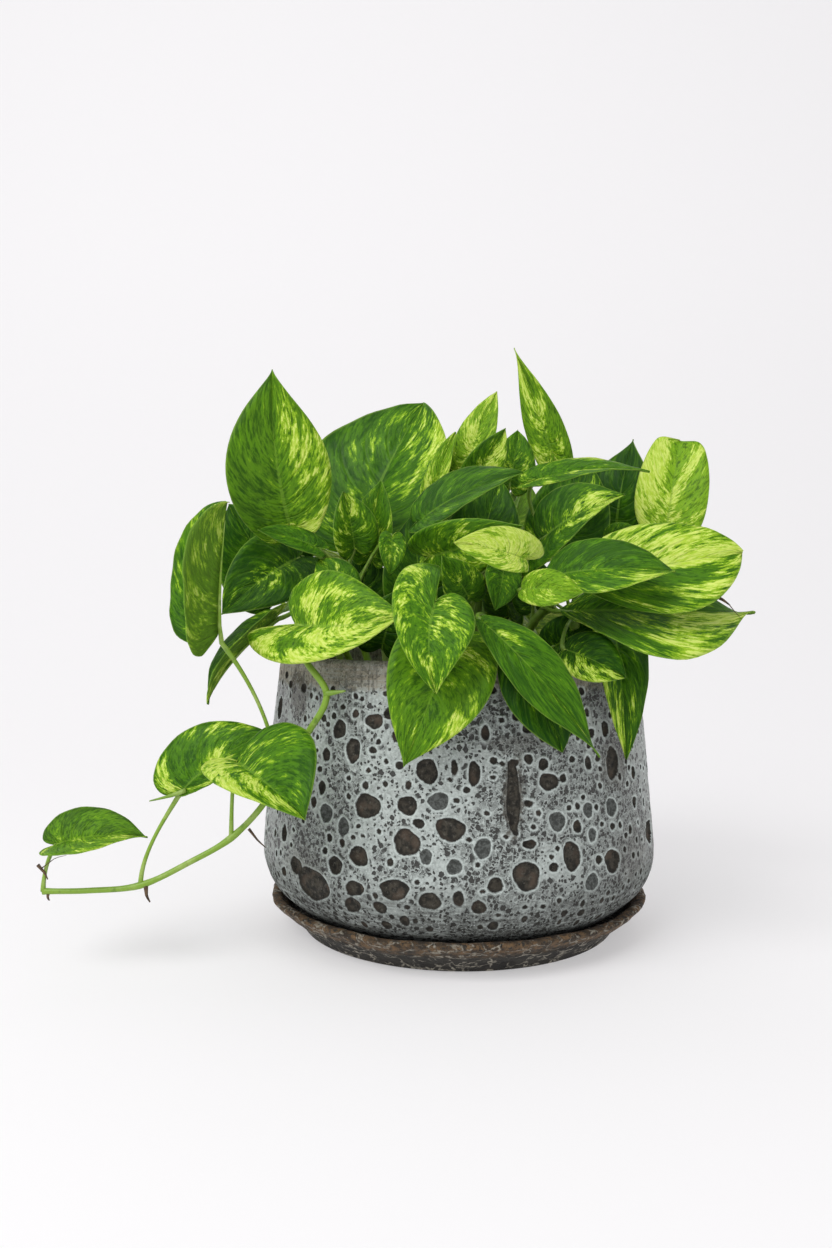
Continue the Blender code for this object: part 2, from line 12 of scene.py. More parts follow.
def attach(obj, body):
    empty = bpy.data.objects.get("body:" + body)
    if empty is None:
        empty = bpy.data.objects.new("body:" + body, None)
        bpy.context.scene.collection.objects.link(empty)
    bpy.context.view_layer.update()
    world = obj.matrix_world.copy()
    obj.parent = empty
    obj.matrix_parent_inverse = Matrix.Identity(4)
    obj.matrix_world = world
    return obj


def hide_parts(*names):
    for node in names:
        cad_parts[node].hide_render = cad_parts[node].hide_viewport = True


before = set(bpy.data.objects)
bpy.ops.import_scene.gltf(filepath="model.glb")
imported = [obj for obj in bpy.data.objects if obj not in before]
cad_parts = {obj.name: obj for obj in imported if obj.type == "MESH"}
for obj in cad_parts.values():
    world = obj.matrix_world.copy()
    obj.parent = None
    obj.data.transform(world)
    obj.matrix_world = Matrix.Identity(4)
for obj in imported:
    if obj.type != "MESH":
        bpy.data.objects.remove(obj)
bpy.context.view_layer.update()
scene = bpy.context.scene
scene.view_settings.view_transform = "Standard"
scene.view_settings.look = "None"

# Camera
# Level with the leaves, a little left of the pot's axis, at the viewing angle of the photograph. The eye's
# level lies some pixels above the middle of the picture.
PHOTO_HEIGHT = 1248
EYE_ABOVE_MIDDLE = 24
eye = bpy.data.cameras.new("Camera")
eye.lens = 28.85
eye.sensor_fit = "VERTICAL"
eye.sensor_height = 36
eye.shift_y = -EYE_ABOVE_MIDDLE / PHOTO_HEIGHT
camera = bpy.data.objects.new("Camera", eye)
camera.location = (-0.0275, -0.670, 0.212)
camera.rotation_euler = (math.radians(90), 0, 0)
scene.collection.objects.link(camera)
scene.camera = camera

# Studio floor
# A sheet of white translucent plastic, lit a little from behind, that lies flat under the saucer and curves
# up into a wall.
SHEET_REACH = 6.0
WALL_CURVE_START = 0.45
WALL_CURVE_RADIUS = 0.9
WALL_TOP = 5.0


def node(tree, kind, inputs=(), **settings):
    """A new node. Each input is set to a value or joined to another node's socket, by its name or number."""
    made = tree.nodes.new("ShaderNode" + kind)
    for name, value in settings.items():
        setattr(made, name, value)
    for key, value in dict(inputs).items():
        if isinstance(value, bpy.types.NodeSocket):
            tree.links.new(value, made.inputs[key])
        else:
            made.inputs[key].default_value = value
    return made.outputs[0]


def new_material(name, roughness):
    """A material, its node tree, its shader and its Object coordinates in metres."""
    made = bpy.data.materials.new(name)
    made.use_nodes = True
    tree = made.node_tree
    shader = tree.nodes["Principled BSDF"]
    shader.inputs["Roughness"].default_value = roughness
    place = tree.nodes.new("ShaderNodeTexCoord").outputs["Object"]
    return made, tree, shader, place


def new_piece(name, bm, *looks):
    """An object at the origin from a bmesh, with its materials."""
    mesh = bpy.data.meshes.new(name)
    bm.to_mesh(mesh)
    bm.free()
    piece = bpy.data.objects.new(name, mesh)
    scene.collection.objects.link(piece)
    for look in looks:
        mesh.materials.append(look)
    return piece


sheet, tree, shader, place = new_material("Studio sheet", 0.9)
shader.inputs["Base Color"].default_value = (0.56, 0.555, 0.56, 1)
shader.inputs["Specular IOR Level"].default_value = 0.1
shader.inputs["Emission Color"].default_value = (1.0, 0.985, 0.995, 1)
shader.inputs["Emission Strength"].default_value = 0.39

bm = bmesh.new()
sweep = [(-SHEET_REACH, 0.0), (WALL_CURVE_START, 0.0)]
for step in range(1, 13):
    turn = math.radians(step * 7.5)
    sweep.append((WALL_CURVE_START + WALL_CURVE_RADIUS * math.sin(turn),
                  WALL_CURVE_RADIUS - WALL_CURVE_RADIUS * math.cos(turn)))
sweep.append((WALL_CURVE_START + WALL_CURVE_RADIUS, WALL_TOP))
line = [bm.verts.new((-SHEET_REACH, y, z)) for y, z in sweep]
edges = [bm.edges.new(pair) for pair in zip(line, line[1:])]
moved = bmesh.ops.extrude_edge_only(bm, edges=edges)["geom"]
bmesh.ops.translate(bm, verts=[item for item in moved if isinstance(item, bmesh.types.BMVert)],
                    vec=(2 * SHEET_REACH, 0, 0))
floor = new_piece("floor", bm, sheet)
floor.data.shade_smooth()

# Studio light
# An even pale room, with one large soft lamp high on the left and a weaker one on the right.
LAMP_SIZE = 1.5
LAMP_AIM = (0, 0, 0.15)
room = bpy.data.worlds.new("Studio")
room.use_nodes = True
room.node_tree.nodes["Background"].inputs["Color"].default_value = (0.985, 0.98, 1.0, 1)
room.node_tree.nodes["Background"].inputs["Strength"].default_value = 0.53
scene.world = room
for name, power, place in (("Key lamp", 30, (-1.0, -1.3, 1.7)), ("Fill lamp", 4, (1.6, -1.2, 0.9))):
    lamp = bpy.data.lights.new(name, "AREA")
    lamp.energy = power
    lamp.size = LAMP_SIZE
    lamp.shape = "DISK"
    made = bpy.data.objects.new(name, lamp)
    made.location = place
    made.rotation_euler = (Vector(LAMP_AIM) - Vector(place)).to_track_quat("-Z", "Y").to_euler()
    scene.collection.objects.link(made)

# Saucer
# A thick thrown dish of dark coarse clay that the pot stands in, unglazed, scraped by hand and rusty where
# its rim was wiped. Profile points are radius and height in metres.
SAUCER_TURNS = 384
SAUCER_FLOOR = ((0, 0.010), (0.05, 0.010), (0.09, 0.010), (0.106, 0.010))
SAUCER_RIM = ((0.1090, 0.0125), (0.1120, 0.0165), (0.1148, 0.0203), (0.1172, 0.0224), (0.1206, 0.0228),
              (0.1225, 0.0212), (0.1200, 0.0180), (0.1152, 0.0140), (0.1062, 0.0062), (0.1020, 0.0010))
SAUCER_FOOT = ((0.099, 0), (0.06, 0), (0, 0))
LUMPY_FROM = 0.1135
LUMP = 0.0012
SOOT_CLAY, DARK_CLAY = (0.006, 0.005, 0.004), (0.036, 0.033, 0.026)
RUST, SAUCER_PIT = (0.185, 0.108, 0.048), (0.018, 0.015, 0.011)
SCRAPED_LINE, PALE_GRIT = (0.40, 0.37, 0.30), (0.26, 0.23, 0.18)


def maths(tree, operation, *values):
    """A Math node of two or three values."""
    return node(tree, "Math", dict(enumerate(values)), operation=operation)


def times(tree, first, second):
    """The product of two values."""
    return maths(tree, "MULTIPLY", first, second)


def vectors(tree, operation, first, second):
    """A Vector Math node of two vectors."""
    return node(tree, "VectorMath", {0: first, 1: second}, operation=operation)


def ramp(tree, value, low, high, to_low=0.0, to_high=1.0):
    """Eases from to_low to to_high as the value goes from low to high."""
    return node(tree, "MapRange", {0: value, 1: low, 2: high, 3: to_low, 4: to_high},
                interpolation_type="SMOOTHSTEP")


def blend(tree, share, first, second):
    """The first colour, or the second where the share is 1."""
    made = tree.nodes.new("ShaderNodeMix")
    made.data_type = "RGBA"
    for key, value in ((0, share), (6, first), (7, second)):
        if isinstance(value, bpy.types.NodeSocket):
            tree.links.new(value, made.inputs[key])
        else:
            made.inputs[key].default_value = value if key == 0 else (*value, 1)
    return made.outputs[2]


def coat(tree, below, where, strength, colour):
    """A colour laid at this strength over the one below, where the mask says."""
    return blend(tree, times(tree, where, strength), below, colour)


def noise_at(tree, place, scale, detail=3.0, roughness=0.55, distortion=0.0):
    """Noise from 0 to 1 at this many waves a metre."""
    return node(tree, "TexNoise", {"Vector": place, "Scale": scale, "Detail": detail,
                                   "Roughness": roughness, "Distortion": distortion})


def scaled(tree, place, x, y, z):
    """The place scaled along each axis, for a pattern that is drawn out."""
    return node(tree, "Mapping", {"Vector": place, "Scale": (x, y, z)})


def jittered(tree, place, scale, detail, reach, middle):
    """The place moved about by noise of up to the reach on each axis."""
    moved = noise_at(tree, place, scale, detail).node.outputs["Color"]
    moved = vectors(tree, "SUBTRACT", moved, (middle, middle, middle))
    return vectors(tree, "ADD", place, vectors(tree, "MULTIPLY", moved, (reach, reach, reach)))


def cell_pattern(tree, place, scale, measure="F1"):
    """Random cells: how far it is to the nearest middle, or with DISTANCE_TO_EDGE to the wall between."""
    return node(tree, "TexVoronoi", {"Vector": place, "Scale": scale, "Randomness": 1.0}, feature=measure)


def raise_by(tree, shader, height, distance):
    """Feeds a height in the shader's normal."""
    bump = tree.nodes.new("ShaderNodeBump")
    bump.inputs["Distance"].default_value = distance
    tree.links.new(height, bump.inputs["Height"])
    tree.links.new(bump.outputs[0], shader.inputs["Normal"])


def even_steps(points, spacing):
    """Points of radius and height at an even spacing along a smooth line through the given ones."""
    made = []
    for index in range(len(points) - 1):
        before = Vector(points[max(index - 1, 0)])
        start, end = Vector(points[index]), Vector(points[index + 1])
        after = Vector(points[min(index + 2, len(points) - 1)])
        count = max(1, round((end - start).length / spacing))
        for number in range(count):
            t = number / count
            made.append(0.5 * (2 * start + (end - before) * t
                               + (2 * before - 5 * start + 4 * end - after) * t ** 2
                               + (3 * start - before - 3 * end + after) * t ** 3))
    made.append(Vector(points[-1]))
    return [tuple(point) for point in made]


def turn_profile(name, profile, steps, *looks):
    """Spins points of radius and height about the upright axis into a closed shape."""
    bm = bmesh.new()
    corners = [bm.verts.new((radius, 0, height)) for radius, height in profile]
    edges = [bm.edges.new(pair) for pair in zip(corners, corners[1:])]
    bmesh.ops.spin(bm, geom=corners + edges, cent=(0, 0, 0), axis=(0, 0, 1), dvec=(0, 0, 0),
                   angle=2 * math.pi, steps=steps, use_merge=True, use_duplicate=False)
    bmesh.ops.remove_doubles(bm, verts=bm.verts, dist=0.000005)
    bmesh.ops.recalc_face_normals(bm, faces=bm.faces)
    piece = new_piece(name, bm, *looks)
    piece.data.shade_smooth()
    return piece


clay, tree, shader, place = new_material("Rough dark clay", 0.88)
height_up = node(tree, "SeparateXYZ", {"Vector": place}).node.outputs["Z"]
coarse = noise_at(tree, place, 60, 5, 0.65)
fine = noise_at(tree, place, 420, 4, 0.6)
gritty = noise_at(tree, place, 900, 3, 0.7)
scraped = noise_at(tree, scaled(tree, place, 70, 70, 420), 1, 4, 0.6)
cracks = cell_pattern(tree, jittered(tree, place, 130, 3, 0.014, 0.0), 100.0, "DISTANCE_TO_EDGE")
body = blend(tree, ramp(tree, coarse, 0.35, 0.65), SOOT_CLAY, DARK_CLAY)
wiped = ramp(tree, maths(tree, "MULTIPLY_ADD", coarse, 0.006, height_up), 0.0145, 0.0195)
body = coat(tree, body, times(tree, wiped, ramp(tree, fine, 0.36, 0.56)), 0.9, RUST)
pitted = ramp(tree, noise_at(tree, place, 210, 5, 0.7), 0.47, 0.60, 0.0, 0.90)
body = blend(tree, pitted, body, SAUCER_PIT)
scratches = times(tree, ramp(tree, cracks, 0.090, 0.015), ramp(tree, scraped, 0.42, 0.56))
body = coat(tree, body, scratches, 0.75, SCRAPED_LINE)
specks = times(tree, ramp(tree, gritty, 0.60, 0.70), ramp(tree, height_up, 0.006, 0.020, 0.10, 0.60))
tree.links.new(blend(tree, specks, body, PALE_GRIT), shader.inputs["Base Color"])
rough_height = maths(tree, "MULTIPLY_ADD", scraped, 0.7, times(tree, fine, 0.6))
raise_by(tree, shader, maths(tree, "ADD", rough_height, times(tree, scratches, 0.35)), 0.0020)

saucer = turn_profile("saucer_dish", [*SAUCER_FLOOR, *even_steps(SAUCER_RIM, 0.0011), *SAUCER_FOOT],
                      SAUCER_TURNS, clay)
for corner in saucer.data.vertices:
    if corner.co.z > 0.003 and corner.co.xy.length > LUMPY_FROM:
        out = Vector((corner.co.x, corner.co.y, 0)).normalized()
        lump = noise.fractal(corner.co * 55, 1.0, 2.0, 4)
        corner.co += out * LUMP * lump * 0.9 + Vector((0, 0, LUMP * 0.8 * noise.noise(corner.co * 28)))
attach(saucer, "root")
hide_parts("saucer")

# Pot
# Thick-walled stoneware under a crater glaze: gas broke through the pale glaze in the kiln and left round
# pits down to the brown clay, with raised rims, and countless pinholes between them. Profile points are
# radius and height in metres.
POT_TURNS = 512
POT_INSIDE = ((0.008, 0.0203), (0.05, 0.0203), (0.090, 0.0203), (0.1115, 0.037), (0.120, 0.057),
              (0.118, 0.083), (0.1123, 0.145))
POT_LIP = ((0.1172, 0.1730), (0.1170, 0.1752), (0.1157, 0.1763), (0.1135, 0.1768), (0.1115, 0.1766),
           (0.1100, 0.1752), (0.1098, 0.1740))
POT_SIDE = ((0.1172, 0.1730), (0.1203, 0.1450), (0.1235, 0.1140), (0.1260, 0.0830), (0.1280, 0.0540),
            (0.1265, 0.0420), (0.1220, 0.0320), (0.1150, 0.0245), (0.1060, 0.0175), (0.0980, 0.0125))
POT_BOTTOM = ((0.092, 0.0103), (0.05, 0.0103), (0.008, 0.0103), (0.008, 0.0203))
# Craters placed one by one: degrees from the front to the right, height, width and height in millimetres
CRATERS = (
    (-25, 144, 12, 8), (-31, 127, 9, 15), (-10, 118, 12, 14), (2, 117, 7, 13), (12, 104, 8, 38),
    (22, 111, 13, 9), (-26, 97, 17, 13), (-15, 99, 12, 10), (-7, 102, 11, 10), (-4, 87, 16, 13),
    (-15, 79, 16, 14), (28, 69, 12, 16), (15, 61, 15, 17), (-28, 69, 12, 11), (-18, 53, 18, 11),
    (-9, 48, 12, 10), (-35, 62, 10, 10), (-50, 56, 12, 10), (-43, 48, 25, 20), (-29, 51, 12, 9),
    (-39, 90, 10, 10), (45, 117, 12, 19), (43, 92, 10, 10), (42, 62, 13, 14),
)
SMALL_CRATERS = (
    (-36, 138, 9, 11), (24, 89, 10, 11), (4, 77, 9, 11), (-3, 67, 9, 8), (7, 57, 9, 8), (-57, 72, 7, 10),
    (-33, 84, 8, 10), (43, 137, 7, 9), (34, 53, 9, 10), (-25, 128, 5, 4), (-40, 123, 6, 8), (-3, 120, 4, 9),
    (16, 100, 6, 4), (16, 78, 8, 5), (-10, 72, 7, 8), (-2, 50, 6, 9), (3, 45, 8, 8), (-30, 41, 11, 9),
    (-22, 42, 8, 7), (-41, 104, 6, 8), (34, 93, 7, 9), (35, 79, 6, 8), (35, 119, 5, 8), (29, 138, 7, 6),
    (17, 141, 8, 6), (5, 139, 5, 8),
)
# Craters that filled up again with grey glaze, by their place in the two lists above
GREY_CRATERS = (8, 20, 22, 25, 26, 27, 30, 32, 38, 44, 45)
GREY_SHARE_OF_DEPTH = 0.55
# The craters round the back and the small pores are drawn at random and spaced in millimetres, measured
# round the pot's belly for the craters and round its mean side for the pores.
BACK_CRATERS = 12
BACK_CRATER_SEED = 11
BACK_CRATER_SPACING = 19
PORES = 620
PORE_SEED = 5
PORE_SPACING = 1.2
BELLY_RADIUS, MEAN_RADIUS = 128, 125
CRATER_DEPTH = 2.0
WALL_WIDTH = 1.6
LIP_HEIGHT = 0.22
FAR_FROM_RIM = 9.0
# Smears of burnt iron in metres: middle across and up, reach across and up, strength
SMEARS = ((0.0257, 0.104, 0.0068, 0.024, 0.90), (-0.098, 0.156, 0.007, 0.016, 0.75),
          (0.088, 0.117, 0.011, 0.015, 0.60), (0.100, 0.062, 0.013, 0.018, 0.45),
          (-0.092, 0.058, 0.013, 0.012, 0.45), (0.030, 0.133, 0.020, 0.006, 0.40))
THIN_GLAZE, PALE_GLAZE = (0.300, 0.332, 0.316), (0.490, 0.542, 0.516)
BURNT_IRON, RUNS_OF_IRON = (0.066, 0.056, 0.040), (0.088, 0.082, 0.072)
WORN_FOOT, FOOT_NET, BARE_RIM = (0.082, 0.086, 0.078), (0.300, 0.328, 0.310), (0.340, 0.305, 0.240)
PINHOLE = (0.014, 0.013, 0.010)
DARK_FLOOR, BROWN_FLOOR, RED_FLOOR = (0.012, 0.011, 0.008), (0.052, 0.045, 0.033), (0.078, 0.056, 0.039)
# Grit on the crater floors, then the painted shade laid on a floor under its crater's wall
FLOOR_GRIT, PAINTED_CRATER_SHADE = (0.105, 0.098, 0.080), (0.012, 0.010, 0.007)
GREY_FLOOR_LOW, GREY_FLOOR_HIGH = (0.040, 0.044, 0.040), (0.108, 0.117, 0.110)


def turn_between(first, second):
    """The angle from the second to the first, from -180 to 180 degrees."""
    return (first - second + 180) % 360 - 180


def crater_places():
    """The front craters, drawn ones round the sides and back, and small pores that keep clear of both."""
    back = []
    draw = random.Random(BACK_CRATER_SEED)
    while len(back) < BACK_CRATERS:
        angle, height, width = draw.uniform(66, 294), draw.uniform(48, 148), draw.uniform(8, 17)
        spacing = [math.hypot(math.radians(angle - other[0]) * BELLY_RADIUS, height - other[1])
                   for other in [*CRATERS, *back]]
        if min(spacing) > BACK_CRATER_SPACING:
            back.append((angle, height, width, width * draw.uniform(0.7, 1.2)))
    places = [*CRATERS, *SMALL_CRATERS, *back]
    wanted = len(places) + PORES
    draw = random.Random(PORE_SEED)
    while len(places) < wanted:
        angle, height = draw.uniform(-66, 294), draw.uniform(28, 166)
        width = 3.2 + 3.6 * draw.random() ** 3
        clear = [math.hypot(turn_between(angle, other[0]) * math.pi / 180 * MEAN_RADIUS, height - other[1])
                 - (other[2] + other[3]) / 4 for other in places]
        if min(clear) > width / 2 + PORE_SPACING:
            places.append((angle, height, width, width * draw.uniform(0.8, 1.25)))
    return places


def dig_craters(piece):
    """Sinks the craters into the side and keeps, for the glaze, how far each point lies from a rim."""
    mesh = piece.data
    count = len(mesh.vertices)
    where = np.zeros(count * 3)
    mesh.vertices.foreach_get("co", where)
    where = where.reshape(-1, 3)
    radius = np.hypot(where[:, 0], where[:, 1])
    height = where[:, 2] * 1000
    angle = np.degrees(np.arctan2(where[:, 0], -where[:, 1]))
    side = np.interp(height, [z * 1000 for r, z in reversed(POT_SIDE)], [r for r, z in reversed(POT_SIDE)])
    outer = np.flatnonzero((radius > side - 0.0015) & (height > 14) & (height < 172))
    across, up, out = angle[outer], height[outer], radius[outer] * 1000
    rim = np.full(len(outer), FAR_FROM_RIM)
    deep = np.zeros(len(outer))
    grey = np.zeros(len(outer))
    draw = random.Random(PORE_SEED + 1)
    for number, (middle, level, wide, tall) in enumerate(crater_places()):
        turns = [draw.uniform(0, 2 * math.pi) for k in range(3)]
        near = np.flatnonzero((np.abs(turn_between(across, middle)) < 0.5 * wide + 6)
                              & (np.abs(up - level) < tall + 6))
        x = np.radians(turn_between(across[near], middle)) * out[near]
        y = up[near] - level
        bearing = np.arctan2(y / tall, x / wide)
        wobble = 1 + 0.06 * np.sin(2 * bearing + turns[0]) + 0.05 * np.sin(3 * bearing + turns[1])
        wobble += 0.03 * np.sin(5 * bearing + turns[2])
        share = np.hypot(x / (wide / 2), y / (tall / 2)) / wobble
        away = share - 1
        away = away * np.hypot(x, y) / np.maximum(share, 0.05) if wide > 6 else away * min(wide, tall) / 2
        away = np.where(share < 0.05, -min(wide, tall) / 2, away)
        sink = CRATER_DEPTH if wide > 7 else 0.28 * wide
        if number in GREY_CRATERS:
            sink *= GREY_SHARE_OF_DEPTH
        wall = np.clip(-away / WALL_WIDTH, 0, 1)
        pit = sink * wall * wall * (3 - 2 * wall)
        lip = LIP_HEIGHT * np.exp(-((away - 0.7) / 0.9) ** 2) * min(1, wide / 8)
        closer = away < rim[near]
        rim[near] = np.where(closer, away, rim[near])
        if number in GREY_CRATERS:
            grey[near] = np.where(closer & (away < 1.0), 1.0, grey[near])
        deep[near] = np.where(away < 0, np.maximum(deep[near], pit), deep[near])
        deep[near] = np.where((away >= 0) & (deep[near] <= 0), np.minimum(deep[near], -lip), deep[near])
    where[outer, :2] *= (1 - deep / out)[:, None]
    mesh.vertices.foreach_set("co", where.ravel())
    for name, values, rest in (("rim", rim, FAR_FROM_RIM), ("grey", grey, 0.0)):
        kept = np.full(count, rest)
        kept[outer] = values
        layer = mesh.attributes.new(name, "FLOAT", "POINT")
        layer.data.foreach_set("value", kept.astype(np.float32))
    mesh.update()


def mesh_value(tree, name):
    """A number that the mesh keeps at each of its points."""
    return node(tree, "Attribute", attribute_name=name).node.outputs["Fac"]


glaze, tree, shader, place = new_material("Crater glaze", 0.6)
rim, grey = mesh_value(tree, "rim"), mesh_value(tree, "grey")
parted = node(tree, "SeparateXYZ", {"Vector": place}).node.outputs
height_up, rightward = parted["Z"], parted["X"]
patchy = noise_at(tree, place, 20, 4, 0.65)
foamy = ramp(tree, maths(tree, "ADD", patchy, ramp(tree, rightward, -0.05, 0.03, -0.04, 0.03)), 0.46, 0.53)
grain = noise_at(tree, place, 520, 4, 0.6)
ragged = noise_at(tree, place, 300, 3, 0.6)
brushed = noise_at(tree, scaled(tree, place, 45, 45, 520), 1, 4, 0.65)
dragged = noise_at(tree, scaled(tree, place, 330, 330, 26), 1, 4, 0.65)
rim_ragged = maths(tree, "MULTIPLY_ADD", maths(tree, "SUBTRACT", ragged, 0.5), 1.2, rim)
inside = ramp(tree, rim_ragged, 0.20, -0.30)
halo = times(tree, ramp(tree, rim_ragged, 2.4, 0.8), ramp(tree, rim_ragged, -0.3, 0.4))
warped = jittered(tree, place, 420, 2, 0.0026, 0.5)


def holes(scale, closed, widest):
    """Distance into pinholes, in parts of a cell: that share of the cells stays closed."""
    cell = cell_pattern(tree, warped, scale)
    share = node(tree, "SeparateColor", {0: cell.node.outputs["Color"]}).node.outputs["Red"]
    return maths(tree, "SUBTRACT", ramp(tree, share, closed, 1.0, -0.3, widest), cell)


# Pinholes of two sizes, and a foam of fine ones between thin pale walls where they crowd
large_rim = holes(300.0, 0.10, 0.50)
small_rim = holes(520.0, 0.05, 0.52)
foam = cell_pattern(tree, warped, 430.0)
foam_tone = node(tree, "SeparateColor", {0: foam.node.outputs["Color"]}).node.outputs["Green"]
walls = cell_pattern(tree, warped, 430.0, "DISTANCE_TO_EDGE")
bubbles = times(tree, ramp(tree, walls, 0.07, 0.17), ramp(tree, foam_tone, 0.0, 0.8, 1.0, 0.35))
open_glaze = times(tree, maths(tree, "MULTIPLY_ADD", halo, -0.90, 1.0),
                   maths(tree, "SUBTRACT", 1.0, inside))
pierced = maths(tree, "MAXIMUM", ramp(tree, large_rim, -0.03, 0.04), ramp(tree, small_rim, -0.04, 0.06))
pierced = maths(tree, "MAXIMUM", pierced, times(tree, bubbles, foamy))
pierced = times(tree, pierced, open_glaze)
ringed = maths(tree, "MAXIMUM", ramp(tree, large_rim, -0.22, -0.05), ramp(tree, small_rim, -0.22, -0.05))

# The pale skin of the glaze, greyer round the sides and whitest in a thin ring at each crater
skin = blend(tree, ramp(tree, grain, 0.32, 0.66), THIN_GLAZE, PALE_GLAZE)
skin = coat(tree, skin, foamy, 0.15, (0.200, 0.214, 0.202))
skin = coat(tree, skin, ringed, 0.50, (0.430, 0.480, 0.456))
skin = blend(tree, ramp(tree, rightward, 0.04, 0.12, 0.0, 0.40), skin, (0.140, 0.146, 0.136))
skin = blend(tree, ramp(tree, rightward, -0.07, -0.12, 0.0, 0.35), skin, (0.150, 0.154, 0.144))
skin = coat(tree, skin, ramp(tree, brushed, 0.54, 0.68), 0.30, (0.130, 0.122, 0.108))
skin = coat(tree, skin, halo, 0.60, (0.400, 0.450, 0.425))
thin_rim = times(tree, ramp(tree, rim_ragged, 1.1, 0.6), ramp(tree, rim_ragged, 0.1, 0.5))
skin = coat(tree, skin, thin_rim, ramp(tree, grain, 0.35, 0.60, 0.25, 0.90), (0.560, 0.625, 0.600))

# Worn bands at the foot, where a net of glaze is left, and at the rim
worn_low = ramp(tree, maths(tree, "MULTIPLY_ADD", patchy, 0.036, height_up), 0.080, 0.054)
worn_high = ramp(tree, maths(tree, "MULTIPLY_ADD", ragged, 0.016, height_up), 0.166, 0.172)
strands = ramp(tree, brushed, 0.34, 0.62, 0.40, 0.95)
net = cell_pattern(tree, warped, 330.0, "DISTANCE_TO_EDGE")
net_lines = times(tree, ramp(tree, net, 0.10, 0.02), ramp(tree, grain, 0.42, 0.58))
skin = coat(tree, skin, worn_low, strands, WORN_FOOT)
skin = coat(tree, skin, worn_low, net_lines, FOOT_NET)
skin = coat(tree, skin, worn_high, ramp(tree, strands, 0.4, 0.95, 0.65, 0.95), BARE_RIM)

# Iron that burnt brown in smears at the front and ran down from the rim, and fine pale specks painted in as
# glints of light on the glaze
frontal = ramp(tree, parted["Y"], 0.010, -0.020)
for middle, level, wide, tall, strength in SMEARS:
    aside = maths(tree, "DIVIDE", maths(tree, "SUBTRACT", rightward, middle), wide)
    above = maths(tree, "DIVIDE", maths(tree, "SUBTRACT", height_up, level), tall)
    reach = maths(tree, "SQRT", maths(tree, "ADD", times(tree, aside, aside), times(tree, above, above)))
    reach = maths(tree, "MULTIPLY_ADD", ragged, -1.6, reach)
    skin = coat(tree, skin, ramp(tree, reach, 0.35, -0.15, 0.0, strength), frontal, BURNT_IRON)
run_down = times(tree, ramp(tree, height_up, 0.118, 0.160), ramp(tree, dragged, 0.50, 0.62))
skin = coat(tree, skin, run_down, 0.60, RUNS_OF_IRON)
# Painted highlight: fine pale specks stand in for glints where the glaze catches the light
bright = ramp(tree, noise_at(tree, place, 760, 3, 0.7), 0.60, 0.68)
skin = coat(tree, skin, bright, 0.55, (0.600, 0.640, 0.620))
pierced = times(tree, pierced, maths(tree, "MULTIPLY_ADD", worn_high, -0.6, 1.0))
skin = coat(tree, skin, pierced, 0.95, PINHOLE)

# Floors of the craters: gritty brown clay with a painted shade that darkens it under the wall, or grey glaze
earth = blend(tree, ramp(tree, ragged, 0.38, 0.66), DARK_FLOOR, BROWN_FLOOR)
earth = blend(tree, ramp(tree, noise_at(tree, place, 90, 2, 0.5), 0.54, 0.68, 0.0, 0.8), earth, RED_FLOOR)
grit = noise_at(tree, place, 380, 5, 0.75)
earth = blend(tree, ramp(tree, grit, 0.52, 0.66, 0.0, 0.7), earth, FLOOR_GRIT)
# Painted shade: the brown floor darkens towards the crater's wall, where its shadow falls
earth = blend(tree, ramp(tree, rim_ragged, -2.2, -0.4, 0.0, 0.65), earth, PAINTED_CRATER_SHADE)
grey_floor = blend(tree, ramp(tree, grain, 0.38, 0.66), GREY_FLOOR_LOW, GREY_FLOOR_HIGH)
floor_tone = blend(tree, grey, earth, grey_floor)
tree.links.new(blend(tree, inside, skin, floor_tone), shader.inputs["Base Color"])
dry = maths(tree, "MAXIMUM", inside, maths(tree, "MAXIMUM", worn_low, worn_high))
tree.links.new(ramp(tree, dry, 0.0, 1.0, 0.38, 0.92), shader.inputs["Roughness"])
relief = maths(tree, "MULTIPLY_ADD", pierced, -1.0, times(tree, grain, 0.45))
relief = maths(tree, "ADD", relief, times(tree, ragged, 0.35))
raise_by(tree, shader, maths(tree, "ADD", relief, times(tree, brushed, 0.30)), 0.0014)

profile = [*POT_INSIDE, *reversed(even_steps(POT_LIP, 0.0012))]
profile += [*even_steps(POT_SIDE, 0.00135)[1:], *POT_BOTTOM]
pot = turn_profile("crater_glazed_pot", profile, POT_TURNS, glaze)
dig_craters(pot)
WAVY_FROM = 0.165
for corner in pot.data.vertices:
    if corner.co.z > 0.022 and corner.co.xy.length > 0.109:
        turn = math.atan2(corner.co.y, corner.co.x)
        swell = 0.0007 * noise.noise(corner.co * 20) + 0.00022 * noise.noise(corner.co * 160)
        corner.co += Vector((math.cos(turn), math.sin(turn), 0)) * swell
        if corner.co.z > WAVY_FROM:
            wave = noise.noise(Vector((math.cos(turn), math.sin(turn), 0.3)) * 2.2)
            corner.co.z += (corner.co.z - WAVY_FROM) / 0.012 * 0.0016 * wave
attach(pot, "root")
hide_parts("pot")

# Soil
# Dark damp potting mix of peat and bark, pressed in round the stems, with loose crumbs and a little
# perlite on top.
SOIL_TOP = 0.162
SOIL_RADIUS = 0.1105
SOIL_SINKS = 0.004
CRUMBS = 900
CRUMB_REACH = 0.108
CRUMB_SEED = 3
PERLITE_SHARE = 0.06
mix, tree, shader, place = new_material("Potting mix", 0.95)
lumps = noise_at(tree, place, 140, 5, 0.65)
fibres = noise_at(tree, scaled(tree, place, 900, 260, 500), 1, 3, 0.6)
tone = blend(tree, ramp(tree, lumps, 0.35, 0.68), (0.010, 0.007, 0.005), (0.055, 0.036, 0.024))
tone = coat(tree, tone, ramp(tree, fibres, 0.60, 0.70), 0.6, (0.130, 0.085, 0.050))
tree.links.new(tone, shader.inputs["Base Color"])
raise_by(tree, shader, maths(tree, "ADD", lumps, times(tree, fibres, 0.4)), 0.003)
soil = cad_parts["soil"]
soil.data.materials.clear()
soil.data.materials.append(mix)

